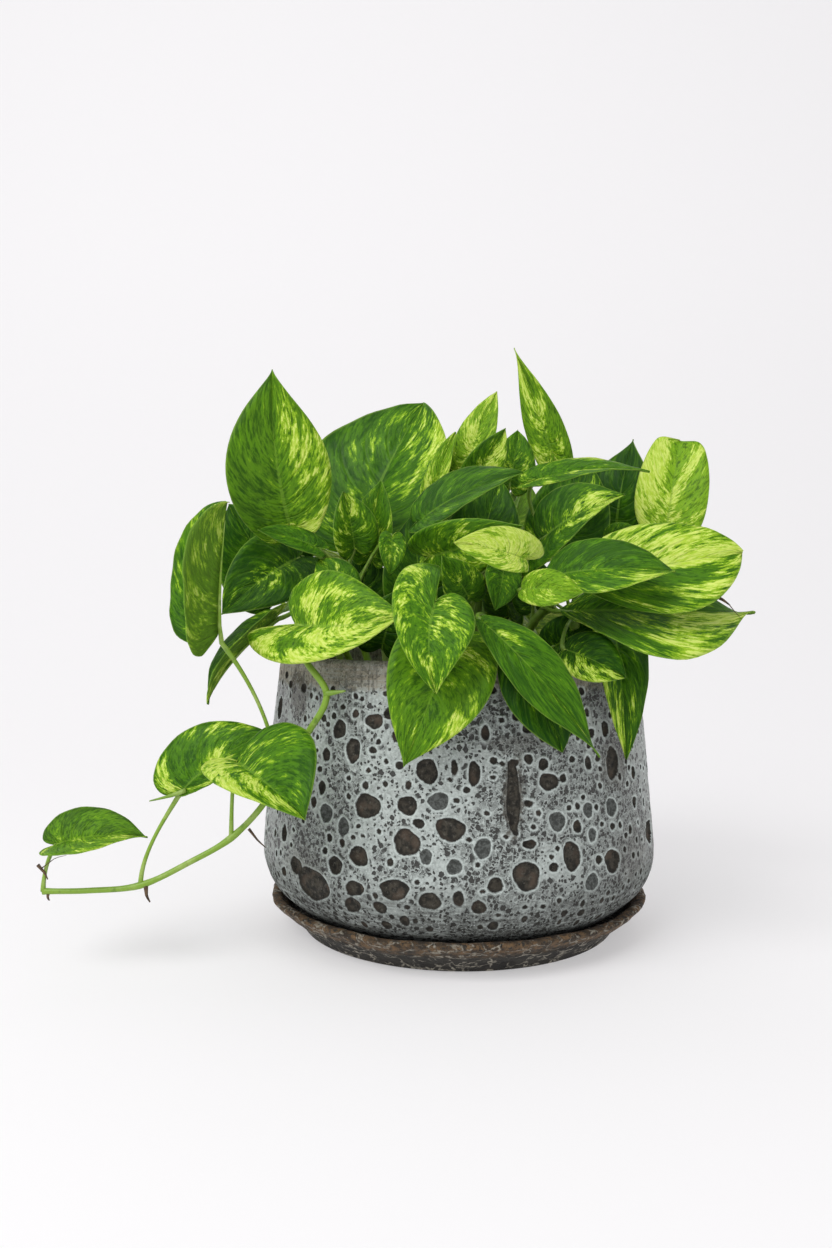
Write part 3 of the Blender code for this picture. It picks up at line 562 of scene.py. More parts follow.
perlite, tree, shader, place = new_material("Perlite", 0.85)
tone = blend(tree, noise_at(tree, place, 700, 3), (0.42, 0.40, 0.36), (0.72, 0.70, 0.66))
tree.links.new(tone, shader.inputs["Base Color"])
raise_by(tree, shader, noise_at(tree, place, 900, 3), 0.0006)
draw = random.Random(CRUMB_SEED)
bm = bmesh.new()
for number in range(CRUMBS):
    reach, turn = CRUMB_REACH * math.sqrt(draw.random()), draw.uniform(0, 2 * math.pi)
    size = draw.uniform(0.0011, 0.0032)
    made = bmesh.ops.create_icosphere(bm, subdivisions=1, radius=size)["verts"]
    squash = (draw.uniform(0.7, 1.5), draw.uniform(0.7, 1.3), draw.uniform(0.45, 0.8))
    bmesh.ops.scale(bm, vec=squash, verts=made)
    lean = Vector((draw.uniform(-0.5, 0.5), draw.uniform(-0.5, 0.5), 1))
    tilt = Vector((0, 0, 1)).rotation_difference(lean)
    for corner in made:
        corner.co *= draw.uniform(0.85, 1.15)
        corner.co.rotate(tilt)
    level = SOIL_TOP - SOIL_SINKS * (reach / SOIL_RADIUS) ** 2 + 0.2 * size
    bmesh.ops.translate(bm, vec=(reach * math.cos(turn), reach * math.sin(turn), level), verts=made)
    if draw.random() < PERLITE_SHARE:
        for face in {face for corner in made for face in corner.link_faces}:
            face.material_index = 1
crumbs = new_piece("soil_crumbs", bm, mix, perlite)
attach(crumbs, "root")

# Leafy stems
# Ten stems at the front and five round the back grow from the soil. Each leaf is a heart-shaped blade, half
# a millimetre thick, on a round stalk that runs on under it as the midrib. The blades are marbled in yellow
# and cream on green, in streaks that follow the side veins. Leaves deep inside and behind the bush are
# coloured a much darker green, as painted shade.
STEM_RADIUS = 0.0026
STALK_RADIUS = 0.0013
STALK_STEPS, MIDRIB_STEPS = 16, 15
BLADE_THICKNESS = 0.0006
LARGE_LEAF = 40
LARGE_GRID, SMALL_GRID = (14, 36), (10, 22)
# Relief of a blade in shares of its length: groove over the midrib, ripple over a side vein, loose edge
RIB_GROOVE, VEIN_RIPPLE, LOOSE_EDGE = 0.010, 0.0032, 0.008
SIDE_VEINS = 8


def leaf(name, at, base, tip, face, tone, width=0.78, arch=0.6, fold=0.25, bend=0.0, lobe=1.0, skew=0.0,
         uneven=0.0, wave=0.02, taper=0.9):
    """One leaf, in millimetres. at: how far along the stem's points its stalk starts, 0 to 1. base, tip:
    ends of its midrib. face: where its upper side looks. tone: how much yellow there is, how much more on
    the right half than on the left and at the tip than at the base, and how light its green is; in leaves
    deep inside and behind the bush the yellow and the lightness are set low as painted shade. width, lobe,
    wave: shares of its length. arch, bend, fold: in radians, the midrib's curve down and sideways and how
    far each half is raised. skew, uneven: how much longer the right lobe and how much wider the right half
    is. taper: how drawn out the tip is."""
    one = dict(name=name, at=at, base=Vector(base), tip=Vector(tip), tone=tone, width=width, arch=arch,
               fold=fold, bend=bend, lobe=lobe, skew=skew, uneven=uneven, wave=wave, taper=taper)
    along = (one["tip"] - one["base"]).normalized()
    up = (Vector(face) - along * Vector(face).dot(along)).normalized()
    one["axes"] = (along.cross(up), along, up)
    one["length"] = (one["tip"] - one["base"]).length
    return one


# The rear, shade, shaded, dark, deep, centre and under leaves sit deep inside or behind the bush; their low
# yellow and lightness give a dark green that is painted shade.
STEMS = {
    "stem_left": dict(
        route=((-58, -20, 130), (-58, -20, 168), (-66, -26, 192), (-74, -32, 210), (-78, -30, 224)),
        leaves=(
            leaf("tall", 0.95, (-106, -40, 255), (-115, -62, 352), (0.15, -1, 0.3),
                 (-0.03, 0.17, -0.18, 0.56), width=0.64, arch=0.3, bend=-0.33, lobe=0.5, taper=1.5),
            leaf("wide", 0.6, (-70, 14, 248), (-22, 44, 352), (-0.45, -1, 0.2), (-0.02, 0.04, 0.03, 0.24),
                 width=0.92, arch=0.3, fold=0.3, bend=-0.1, lobe=0.5, taper=0.5),
            leaf("folded", 0.8, (-67, -30, 246), (-74, -34, 281), (0.4, -1, 0.1), (0.02, 0, 0, 0.45),
                 width=0.85, fold=0.6),
            leaf("dark", 0.7, (-57, -16, 242), (-50, -18, 290), (-0.2, -1, 0.1), (-0.04, 0, 0, 0.40),
                 width=0.6, fold=0.5),
            leaf("lying", 0.9, (-88, -52, 244), (-125, -54, 255), (0, -1, 0.8), (-0.22, 0, 0, 0.30),
                 width=0.45),
            leaf("inner", 0.5, (-71, -60, 217), (-88, -52, 237), (0.2, -1, 0.3), (-0.02, 0, 0, 0.32),
                 width=1.0),
            leaf("nodding", 0.6, (-42, -65, 250), (-43, -73, 227), (0.2, -1, 0.1), (-0.05, 0, 0, 0.42),
                 width=0.7),
            leaf("rear", 0.45, (-64, -3, 203), (-60, -3, 245), (0, -1, 0.2), (-0.35, 0, 0, 0.02), width=1.0),
        )),
    "stem_left_low": dict(
        route=((-78, 4, 130), (-78, 4, 168), (-84, -4, 192), (-90, -14, 206)),
        leaves=(
            leaf("shaded", 0.8, (-103, -20, 240), (-149, -45, 203), (0.3, -0.9, 0.6), (-0.22, 0, 0, 0.12),
                 width=0.8, arch=0.9),
            leaf("hanging", 0.95, (-114, -62, 200), (-150, -84, 151), (-0.9, -0.4, 0.1), (-0.04, -0.1, 0,
                 0.22), width=0.45, fold=0.7),
            leaf("rear", 1.0, (-120, -6, 220), (-151, -10, 275), (0.2, -1, 0.2), (-0.25, 0, 0, 0.10),
                 width=1.0),
        )),
    "stem_trailing": dict(
        route=((-66, -62, 130), (-66, -62, 168), (-75, -77, 190), (-84, -88, 190), (-91, -98, 179),
               (-78, -105, 159), (-88, -104, 138), (-103, -98, 119), (-115, -92, 95), (-134, -94, 75),
               (-157, -98, 62), (-184, -102, 50), (-213, -102, 47), (-240, -100, 46)),
        leaves=(
            leaf("front_heart", 0.254, (-96, -98, 198), (-34, -124, 204), (-0.05, -1, 0.35),
                 (0.17, 0.06, 0.06, 0.54), width=0.82, arch=0.25, fold=0.15, bend=0.45, lobe=1.5, skew=0.6,
                 uneven=-0.15),
            leaf("raised", 0.569, (-142, -96, 191), (-137, -90, 269), (-1, -0.55, 0.05),
                 (-0.04, 0.12, 0, 0.30), width=0.53, arch=0.2, fold=1.6, lobe=0.7, skew=0.2, uneven=0.08,
                 taper=0.1),
            leaf("second", 0.692, (-128, -108, 121), (-85, -150, 98), (-0.1, -0.8, 0.8),
                 (0.0, 0.16, -0.08, 0.36), width=0.85, arch=0.5, fold=0.5, lobe=0.8, skew=0.5, uneven=-0.24),
            leaf("third", 0.846, (-163, -96, 101), (-113, -86, 134), (-0.2, -0.9, 0.5),
                 (-0.02, -0.05, 0, 0.40), width=0.62, arch=0.4, bend=-0.4, lobe=0.5, skew=-0.3, uneven=-0.4),
            leaf("last", 1.0, (-232, -100, 73), (-181, -98, 76), (0, -0.47, 0.88), (-0.10, 0.14, 0, 0.60),
                 width=0.75, arch=0.4, fold=0.42, bend=-0.3, taper=1.3),
        )),
    "stem_centre": dict(
        route=((-22, -58, 130), (-22, -58, 168), (-26, -74, 190), (-24, -88, 200)),
        leaves=(
            leaf("marbled", 0.95, (-17, -136, 211), (-17, -152, 163), (0, -1, 0.3), (0.03, 0, 0.06, 0.42),
                 width=0.92, lobe=1.7, skew=0.8, arch=0.8, bend=0.6, taper=1.2),
            leaf("shade", 0.3, (-48, -66, 184), (-38, -76, 218), (0, -1, 0.2), (-0.3, 0, 0, 0.1),
                 width=1.0),
            leaf("behind", 0.6, (4, -88, 212), (-13, -102, 237), (0, -1, 0.3), (-0.08, 0, 0, 0.25),
                 width=0.8),
            leaf("drop", 0.9, (-8, -122, 189), (-34, -141, 124), (0.1, -1, 0.2), (-0.01, 0.05, 0.0, 0.54),
                 width=0.8, taper=1.3),
        )),
    "stem_front": dict(
        route=((8, -66, 130), (8, -66, 168), (10, -80, 188), (14, -94, 196)),
        leaves=(
            leaf("long", 0.95, (8, -128, 201), (69, -142, 129), (0.1, -1, 0.45), (-0.12, -0.08, 0.04, 0.26),
                 width=0.31, bend=-0.1, lobe=0.3, taper=2.6),
            leaf("under", 0.9, (24, -119, 183), (51, -132, 130), (0.1, -1, 0.2), (-0.35, 0, 0, 0.0),
                 width=0.6, bend=-0.3, lobe=0.3),
        )),
    "stem_right_low": dict(
        route=((52, -52, 130), (52, -52, 168), (60, -66, 190), (68, -76, 198)),
        leaves=(
            leaf("shade", 0.6, (54, -74, 184), (82, -70, 199), (0.2, -1, 0.3), (-0.3, 0, 0, 0.03),
                 width=0.9),
            leaf("shelf", 0.9, (57, -106, 184), (88, -119, 169), (0.2, -1, 0.4), (-0.10, 0.22, 0.02, 0.05),
                 width=0.85, lobe=0.4),
            leaf("arching", 0.95, (92, -62, 201), (94, -94, 120), (0.4, -1, 0.3), (-0.08, 0.1, 0.0, 0.16),
                 width=0.42, arch=1.0, bend=0.5, taper=1.4),
        )),
    "stem_right": dict(
        route=((38, -36, 130), (38, -36, 168), (44, -50, 196), (56, -62, 210)),
        leaves=(
            leaf("near", 0.7, (47, -104, 225), (112, -132, 227), (0.0, -0.9, 0.7), (-0.12, 0.14, -0.02,
                 0.40), width=0.54, lobe=0.4),
            leaf("bright", 0.95, (64, -94, 220), (156, -108, 239), (0, -1, 0.45), (0.10, -0.06, 0.14, 0.42),
                 width=0.62, arch=0.4, lobe=-0.1, skew=-0.3, uneven=0.12, taper=0.5),
            leaf("tail", 0.8, (58, -80, 206), (168, -92, 204), (0, -0.75, 0.8), (-0.06, 0.06, 0.02, 0.28),
                 width=0.62, bend=0.5, lobe=-0.05, skew=-0.1, uneven=0.27, taper=3.2),
            leaf("pale", 0.9, (31, -120, 218), (62, -136, 216), (0, -0.9, 0.3), (0.04, 0, 0, 0.85),
                 width=0.62, lobe=0.4),
            leaf("rear", 0.4, (50, -18, 208), (47, -14, 242), (0, -1, 0.2), (-0.3, 0, 0, 0.1), width=0.9),
        )),
    "stem_top": dict(
        route=((12, 8, 130), (12, 8, 168), (16, 12, 215), (26, 14, 255), (40, 18, 285)),
        leaves=(
            leaf("spear", 1.0, (70, 26, 308), (40, 18, 385), (-0.1, -1, 0.1), (0.12, -0.05, -0.05, 0.65),
                 width=0.33, arch=0.3, lobe=1.2, taper=2.2),
            leaf("light", 0.8, (8, 24, 305), (29, 28, 357), (-0.3, -1, 0.2), (0.18, 0, 0, 0.8), width=0.5,
                 fold=0.3),
            leaf("folded", 0.7, (10, 2, 292), (32, -6, 326), (0.3, -1, 0.1), (0.02, 0.12, 0, 0.45),
                 width=0.6, fold=0.4),
            leaf("small", 0.9, (36, 10, 290), (42, 14, 328), (0.2, -1, 0.1), (0.0, 0, 0, 0.4), width=0.8),
            leaf("narrow", 0.6, (-18, -26, 272), (-2, -26, 320), (-0.4, -1, 0.1), (0.16, 0, 0, 0.7),
                 width=0.34, fold=0.6),
            leaf("dark", 0.7, (-12, 34, 284), (2, 38, 324), (0, -1, 0.1), (-0.35, 0, 0, 0.04), width=0.7),
            leaf("rear", 0.65, (18, 36, 258), (26, 38, 300), (0, -1, 0.2), (-0.3, 0, 0, 0.08), width=0.9),
        )),
    "stem_right_back": dict(
        route=((72, 18, 130), (72, 18, 168), (80, 16, 205), (90, 14, 232)),
        leaves=(
            leaf("square", 0.95, (140, 2, 256), (153, 14, 321), (-0.2, -1, 0.2), (0.31, -0.12, -0.12, 1.0),
                 width=0.71, arch=0.3, lobe=0.5, skew=0.1, taper=-0.75),
            leaf("dark", 0.8, (112, 30, 256), (126, 36, 325), (-0.6, -0.9, 0.1), (-0.35, 0, 0, 0.08),
                 width=0.78, taper=1.5),
            leaf("tall", 0.6, (70, 8, 246), (90, 20, 308), (-0.1, -1, 0.2), (-0.22, 0, 0, 0.12), width=0.85),
            leaf("level", 0.7, (50, -20, 290), (121, -34, 293), (0, -0.6, 0.9), (0.0, 0, 0, 0.36),
                 width=0.4, taper=1.4),
        )),
    "stem_middle": dict(
        route=((2, -26, 130), (2, -26, 168), (6, -36, 205), (14, -46, 225)),
        leaves=(
            leaf("broad", 0.95, (52, -44, 251), (98, -70, 275), (0.2, -0.8, 0.7), (-0.06, 0.04, 0.14, 0.18),
                 width=0.88, lobe=1.3, skew=0.6, taper=1.4),
            leaf("shelf", 0.8, (-26, -44, 261), (37, -70, 288), (-0.2, -0.7, 0.8), (-0.3, 0, 0, 0.22),
                 width=0.6, lobe=0.6),
            leaf("olive", 0.7, (-20, -66, 238), (34, -92, 255), (-0.1, -1, -0.3), (0.0, 0, 0, 0.45),
                 width=0.62),
            leaf("lime", 0.9, (34, -107, 235), (-7, -126, 243), (0, -1, 0.45), (0.40, 0.10, 0, 0.90),
                 width=0.66, lobe=1.1, skew=0.6, uneven=0.1),
            leaf("round", 0.8, (24, -82, 230), (18, -93, 206), (0.3, -1, 0.2), (-0.2, 0, 0, 0.35),
                 width=0.85),
            leaf("deep", 0.5, (-24, -20, 207), (-30, -14, 268), (0.1, -1, 0.2), (-0.3, 0, 0, 0.1),
                 width=0.8),
            leaf("centre", 0.6, (12, -14, 235), (28, -8, 293), (-0.1, -1, 0.2), (-0.2, 0, 0, 0.12),
                 width=0.82),
            leaf("shade", 0.9, (27, -34, 222), (25, -30, 262), (0, -1, 0.2), (-0.3, 0, 0, 0.1), width=0.8),
            leaf("curl", 1.0, (94, -36, 250), (110, -46, 257), (0, -0.8, 0.7), (-0.25, 0, 0, 0.3),
                 width=0.9),
        )),
}
# The back stems, in degrees from the right and millimetres from the pot's axis. For a leaf, the reach and
# height of its base come first and then the reach of its tip, whose height is listed stem by stem.
BACK_ANGLES = (28, 58, 90, 122, 150)
BACK_SEED = 7
BACK_ROUTE = ((56, 130), (56, 168), (62, 200), (72, 222))
BACK_LEVEL = ((80, 236), (140, 238))
BACK_LOW = ((104, 204), 152)
BACK_LOW_TIPS = (190, 146, 140, 148, 198)
BACK_INNER = ((42, 200), 36)
BACK_INNER_TIPS = (256, None, None, 262, None)
BACK_RAISED = ((54, 258), 86)
BACK_RAISED_TIPS = (286, 304, 300, 306, None)
BACK_LEANS = (-6, 9, -6, 9, 0)


def back_stem(angle, low_tip, inner_tip, raised_tip, lean, draw, tint):
    """A stem leaning out at the angle: a low leaf over the rim, a level one beside it, and where their tips
    have a height an inner leaf facing the middle and a raised one."""
    out = Vector((math.cos(angle), math.sin(angle), 0))
    beside = Vector((math.cos(angle + 0.3), math.sin(angle + 0.3), 0))
    up = Vector((0, 0, 1))

    def at(way, reach, height):
        return tuple(way * (reach + draw.uniform(-3, 3)) + up * (height + draw.uniform(-3, 3)))

    def tone():
        return (tint.uniform(-0.1, 0.3), tint.uniform(-0.1, 0.1), tint.uniform(-0.1, 0.1),
                tint.uniform(0.2, 0.6))

    leaves = [
        leaf("low", 0.8, at(out, *BACK_LOW[0]), at(out, BACK_LOW[1], low_tip), tuple(out + 0.6 * up), tone(),
             width=draw.uniform(0.74, 0.86), arch=0.9, bend=draw.uniform(-0.3, 0.3)),
        leaf("level", 0.9, at(beside, *BACK_LEVEL[0]), at(beside, *BACK_LEVEL[1]), tuple(0.4 * beside + up),
             tone(), width=draw.uniform(0.7, 0.82), arch=0.8, bend=draw.uniform(-0.3, 0.3)),
    ]
    if inner_tip:
        leaves.append(leaf("inner", 0.5, at(out, *BACK_INNER[0]), at(out, BACK_INNER[1], inner_tip),
                           tuple(0.3 * up - out), tone(), width=draw.uniform(0.8, 0.95), arch=0.5,
                           bend=draw.uniform(-0.3, 0.3)))
    if raised_tip:
        (reach, height), tip_reach = BACK_RAISED
        leaves.append(leaf("raised", 1.0, at(out, reach + lean, height),
                           at(out, tip_reach + 2 * lean, raised_tip), tuple(out + 0.4 * up), tone(),
                           width=draw.uniform(0.66, 0.76), arch=0.6, bend=draw.uniform(-0.3, 0.3)))
    route = [tuple(out * reach + up * height) for reach, height in BACK_ROUTE]
    return dict(route=route, leaves=leaves)


draw, tint = random.Random(BACK_SEED), random.Random(BACK_SEED)
rows = zip(BACK_ANGLES, BACK_LOW_TIPS, BACK_INNER_TIPS, BACK_RAISED_TIPS, BACK_LEANS)
for number, (degrees, low_tip, inner_tip, raised_tip, lean) in enumerate(rows):
    STEMS["stem_back_%d" % (number + 1)] = back_stem(
        math.radians(degrees), low_tip, inner_tip, raised_tip, lean, draw, tint)


def along_route(points, share):
    """The point at a share of the way along a smooth curve through the points."""
    place = min(max(share, 0), 1) * (len(points) - 1)
    index = min(int(place), len(points) - 2)
    step = place - index
    if index == 0:
        return Vector(points[0]).lerp(Vector(points[1]), step)
    before, start, end, after = [Vector(points[min(max(index + k, 0), len(points) - 1)])
                                 for k in (-1, 0, 1, 2)]
    return 0.5 * (2 * start + (end - before) * step + (2 * before - 5 * start + 4 * end - after) * step ** 2
                  + (3 * start - before - 3 * end + after) * step ** 3)


def on_arc(offset, along, angle):
    """Bends a straight length of 1 into an arc that keeps its two ends in place."""
    if abs(angle) < 0.001:
        return offset, along
    radius = 1 / angle
    turn = angle * (along - 0.5)
    chord = 2 * radius * math.sin(angle / 2)
    return (((radius + offset) * math.cos(turn) - radius * math.cos(angle / 2)) / chord,
            ((radius + offset) * math.sin(turn) + radius * math.sin(angle / 2)) / chord)


def blade_point(one, across, along):
    """A place on a blade: across runs from -1 to 1 between its edges, along from its base to its tip."""
    side = abs(across)
    edge_out = 0.5 * one["width"] * max(math.sin(math.pi * along), 0) ** (1.1 + one["taper"] * along)
    half = math.copysign(1, across)
    edge_out *= 1 + half * one["uneven"]
    lobe = one["lobe"] + half * one["skew"]
    edge_along = along * along * (3 - 2 * along) - 2 * lobe * along * (1 - along) ** 2
    rib = along ** 2.2
    x = math.copysign(side * edge_out, across)
    y = rib + side * (edge_along - rib)
    z = one["fold"] * (side * edge_out - 0.5 * (side * edge_out) ** 2 / one["width"])
    phase = 2.0 if across > 0 else 0.0
    z += one["wave"] * side ** 3 * math.sin(9 * along + phase + len(one["name"]))
    room = min(1.0, 8 * edge_out)
    z -= RIB_GROOVE * room * math.exp(-(side / 0.07) ** 2)
    vein_turn = 2 * math.pi * SIDE_VEINS * (along - 0.10 * side * side) + phase
    z += VEIN_RIPPLE * room * math.sin(vein_turn) * min(1, 4 * side)
    z += LOOSE_EDGE * room * side ** 4 * math.sin(17 * along + 3 * phase + one["length"])
    x, y = on_arc(x, y, one["bend"])
    z, y = on_arc(z, y, one["arch"])
    right, forward, up = one["axes"]
    return one["base"] + one["length"] * (x * right + y * forward + z * up)


def grow_blade(bm, layers, one, seed):
    """A blade in the stem's bmesh: a grid laid on the heart shape, its underside and the edge between."""
    veins, yellow, light, number = layers
    across_steps, along_steps = LARGE_GRID if one["length"] > LARGE_LEAF else SMALL_GRID
    top = bmesh.ops.create_grid(bm, x_segments=across_steps, y_segments=along_steps, size=1)["verts"]
    # The last share of the tone is the lightness of the green, which in leaves deep in the bush is painted
    # shade.
    pale, right_more, tip_more, lightness_and_shade = one["tone"]
    places = {}
    for corner in top:
        across, along = corner.co.x, (corner.co.y + 1) / 2
        places[corner] = (across, along)
        corner[yellow] = pale + right_more * across * 1.6 + tip_more * (2 * along - 1) * 1.6
        corner[light] = lightness_and_shade
        corner[number] = seed
    faces = {face for corner in top for face in corner.link_faces}
    for face in faces:
        for loop in face.loops:
            across, along = places[loop.vert]
            loop[veins].uv = ((across + 1) / 2, along)
    step = 0.01
    for corner, (across, along) in places.items():
        inner = min(max(along, 0.03), 0.97)
        beside = (blade_point(one, min(across + step, 1), along)
                  - blade_point(one, max(across - step, -1), along))
        ahead = blade_point(one, across, inner + step) - blade_point(one, across, inner - step)
        if beside.length < 1e-6:
            beside = blade_point(one, 0.5, inner) - blade_point(one, -0.5, inner)
        corner.co = blade_point(one, across, along) * 0.001
        corner.normal = beside.cross(ahead).normalized()
    normals = {corner: corner.normal.copy() for corner in top}
    borders = {edge for face in faces for edge in face.edges}
    made = bmesh.ops.duplicate(bm, geom=[*faces, *borders, *top])
    partner = made["vert_map"]
    under = [item for item in made["geom"] if isinstance(item, bmesh.types.BMFace)]
    bmesh.ops.reverse_faces(bm, faces=under)
    for corner in top:
        lift = normals[corner] * BLADE_THICKNESS / 2
        partner[corner].co = corner.co - lift
        corner.co += lift
    for face in under:
        face.material_index = 1
    rim = [edge for face in faces | set(under) for edge in face.edges if edge.is_boundary]
    joined = bmesh.ops.bridge_loops(bm, edges=list(set(rim)))["faces"]
    places.update({partner[corner]: place for corner, place in places.items()})
    for face in joined:
        face.material_index = 0
        for loop in face.loops:
            across, along = places[loop.vert]
            loop[veins].uv = ((across + 1) / 2, along)
    for face in [*faces, *under, *joined]:
        face.smooth = True
    ends = [corner for corner, (across, along) in places.items() if along < 0.001 or along > 0.999]
    bmesh.ops.remove_doubles(bm, verts=ends, dist=0.00004)


def stalk_line(stem, one):
    """Points and radii of a stalk from inside the stem to the blade, and on under it as the midrib."""
    start = along_route(stem["route"], one["at"])
    end = one["base"]
    forward, up = one["axes"][1:]
    reach = (end - start).length
    leave = start + Vector((0, 0, 0.35 * reach))
    arrive = end - 0.4 * reach * (0.5 * forward + 0.5 * up)
    points, radii = [], []
    for step in range(STALK_STEPS):
        t = step / STALK_STEPS
        points.append((1 - t) ** 3 * start + 3 * (1 - t) ** 2 * t * leave + 3 * (1 - t) * t * t * arrive
                      + t ** 3 * end)
        radii.append(STALK_RADIUS * (1.15 - 0.3 * math.sin(math.pi * min(t * 1.15, 1))))
    size = min(1.0, one["length"] / 60)
    for step in range(1, MIDRIB_STEPS):
        share = step / MIDRIB_STEPS
        along = (0.02 + 0.90 * share) ** (1 / 2.2)
        radius = STALK_RADIUS * (0.85 * (1 - share) + 0.14) * (0.6 + 0.4 * size)
        level = (blade_point(one, 0.05, along) - blade_point(one, -0.05, along)).normalized()
        run = (blade_point(one, 0, min(along + 0.01, 1)) - blade_point(one, 0, along - 0.01)).normalized()
        points.append(blade_point(one, 0, along) - level.cross(run) * 1000 * (0.85 * radius))
        radii.append(radius)
    return [point * 0.001 for point in points], radii


def stem_line(stem):
    """Points and radii of the stem, thicker where each leaf leaves it."""
    parts = len(stem["route"]) - 1
    count = 8 * parts + 1
    points, radii = [], []
    for number in range(count):
        share = number / (count - 1)
        near = min(abs(share - one["at"]) for one in stem["leaves"]) * parts
        swell = 0.22 * math.exp(-(near / 0.22) ** 2)
        thin = 0.92 - 0.25 * share if parts > 7 else 1.0
        points.append(along_route(stem["route"], share) * 0.001)
        radii.append(STEM_RADIUS * thin * (0.92 + swell))
    return points, radii


def round_skin(lines):
    """A bmesh of smooth round tubes with closed ends, one along each line of points and radii."""
    curve = bpy.data.curves.new("skin", "CURVE")
    curve.dimensions = "3D"
    curve.bevel_depth = 1
    curve.bevel_resolution = 3
    curve.use_fill_caps = True
    for points, radii in lines:
        spline = curve.splines.new("POLY")
        spline.points.add(len(points) - 1)
        for corner, point, radius in zip(spline.points, points, radii):
            corner.co = (*point, 1)
            corner.radius = radius
    guide = bpy.data.objects.new("skin", curve)
    scene.collection.objects.link(guide)
    mesh = bpy.data.meshes.new_from_object(guide.evaluated_get(bpy.context.evaluated_depsgraph_get()))
    bpy.data.objects.remove(guide)
    bpy.data.curves.remove(curve)
    bm = bmesh.new()
    bm.from_mesh(mesh)
    bpy.data.meshes.remove(mesh)
    bmesh.ops.remove_doubles(bm, verts=bm.verts, dist=0.000001)
    bmesh.ops.recalc_face_normals(bm, faces=bm.faces)
    for face in bm.faces:
        face.smooth = True
    return bm


# Marbling, shared by the upper side and the underside of the blades
DEEP_GREEN, MID_GREEN, LIGHT_GREEN = (0.009, 0.050, 0.0015), (0.060, 0.180, 0.005), (0.235, 0.440, 0.018)
BAND_GREEN, FLECK_GREEN, SHADE_GREEN = (0.105, 0.275, 0.006), (0.012, 0.066, 0.002), (0.010, 0.058, 0.002)
DARK_LIME, LIME = (0.200, 0.390, 0.010), (0.350, 0.545, 0.032)
YELLOW, CREAM = (0.440, 0.620, 0.050), (0.650, 0.780, 0.170)
marbling = bpy.data.node_groups.new("Marbling", "ShaderNodeTree")
for name, way, kind in (
        ("UV", "INPUT", "Vector"), ("Yellow", "INPUT", "Float"), ("Light", "INPUT", "Float"),
        ("Leaf", "INPUT", "Float"), ("Color", "OUTPUT", "Color"), ("Height", "OUTPUT", "Float")):
    marbling.interface.new_socket(name, in_out=way, socket_type="NodeSocket" + kind)
given = marbling.nodes.new("NodeGroupInput").outputs
put = marbling.nodes.new("NodeGroupOutput").inputs
tree = marbling
parted = node(tree, "SeparateXYZ", {"Vector": given["UV"]}).node.outputs
across = maths(tree, "MULTIPLY_ADD", parted["X"], 2.0, -1.0)
side = maths(tree, "ABSOLUTE", across)
vein = maths(tree, "MULTIPLY_ADD", times(tree, side, side), -0.13, parted["Y"])


def streaks(along_scale, across_scale, offset, detail):
    """Noise drawn out along the side veins, from -1 to 1 about its middle."""
    own = maths(tree, "MULTIPLY_ADD", given["Leaf"], 3.17, offset)
    drawn = {0: times(tree, vein, along_scale), 1: times(tree, across, across_scale), 2: own}
    place = node(tree, "CombineXYZ", drawn)
    spots = noise_at(tree, place, 1.0, detail, 0.6, 0.25)
    return node(tree, "MapRange", {0: spots, 1: 0.30, 2: 0.70, 3: -1.0, 4: 1.0})


blotches = streaks(5.0, 1.3, 0.0, 2.0)
bands = streaks(22.0, 2.6, 5.0, 5.0)
flecks = streaks(64.0, 9.0, 9.0, 5.0)
grain = streaks(200.0, 50.0, 13.0, 3.0)
level = given["Yellow"]
for streaked, strength in ((blotches, 0.34), (bands, 0.22), (flecks, 0.22), (grain, 0.08)):
    level = maths(tree, "MULTIPLY_ADD", streaked, strength, level)
# The lightness runs from the deepest green to the lightest, and a yellow well below zero brings in the shade
# green: both carry the painted shade of leaves deep in the bush.
made = blend(tree, ramp(tree, given["Light"], 0.0, 0.35), DEEP_GREEN, MID_GREEN)
made = blend(tree, ramp(tree, given["Light"], 0.35, 1.0), made, LIGHT_GREEN)
made = blend(tree, ramp(tree, bands, -0.6, 0.7, 0.0, 0.50), made, BAND_GREEN)
made = blend(tree, ramp(tree, flecks, 0.1, -0.6, 0.0, 0.50), made, FLECK_GREEN)
made = blend(tree, ramp(tree, level, -0.05, -0.45, 0.0, 0.60), made, SHADE_GREEN)
made = blend(tree, ramp(tree, level, 0.07, 0.13, 0.0, 0.75), made, DARK_LIME)
made = blend(tree, ramp(tree, level, 0.18, 0.23, 0.0, 0.90), made, LIME)
cream_tone = blend(tree, ramp(tree, flecks, -0.5, 0.6), YELLOW, CREAM)
made = blend(tree, ramp(tree, level, 0.29, 0.33), made, cream_tone)
rib_width = maths(tree, "MULTIPLY_ADD", parted["Y"], -0.030, 0.048)
rib = ramp(tree, maths(tree, "SUBTRACT", side, rib_width), 0.012, -0.012)
made = coat(tree, made, rib, 0.45, (0.200, 0.380, 0.035))
phase = maths(tree, "FRACT", times(tree, vein, 9.0))
ridge = maths(tree, "ABSOLUTE", maths(tree, "SUBTRACT", phase, 0.5))
vein_line = times(tree, ramp(tree, ridge, 0.40, 0.50), ramp(tree, side, 1.0, 0.35))
made = coat(tree, made, vein_line, 0.14, (0.180, 0.360, 0.030))
made = coat(tree, made, ramp(tree, side, 0.965, 0.99), 0.40, (0.260, 0.420, 0.060))
tree.links.new(made, put["Color"])
relief = maths(tree, "MULTIPLY_ADD", vein_line, -0.6, times(tree, bands, 0.30))
tree.links.new(maths(tree, "MULTIPLY_ADD", flecks, 0.12, relief), put["Height"])


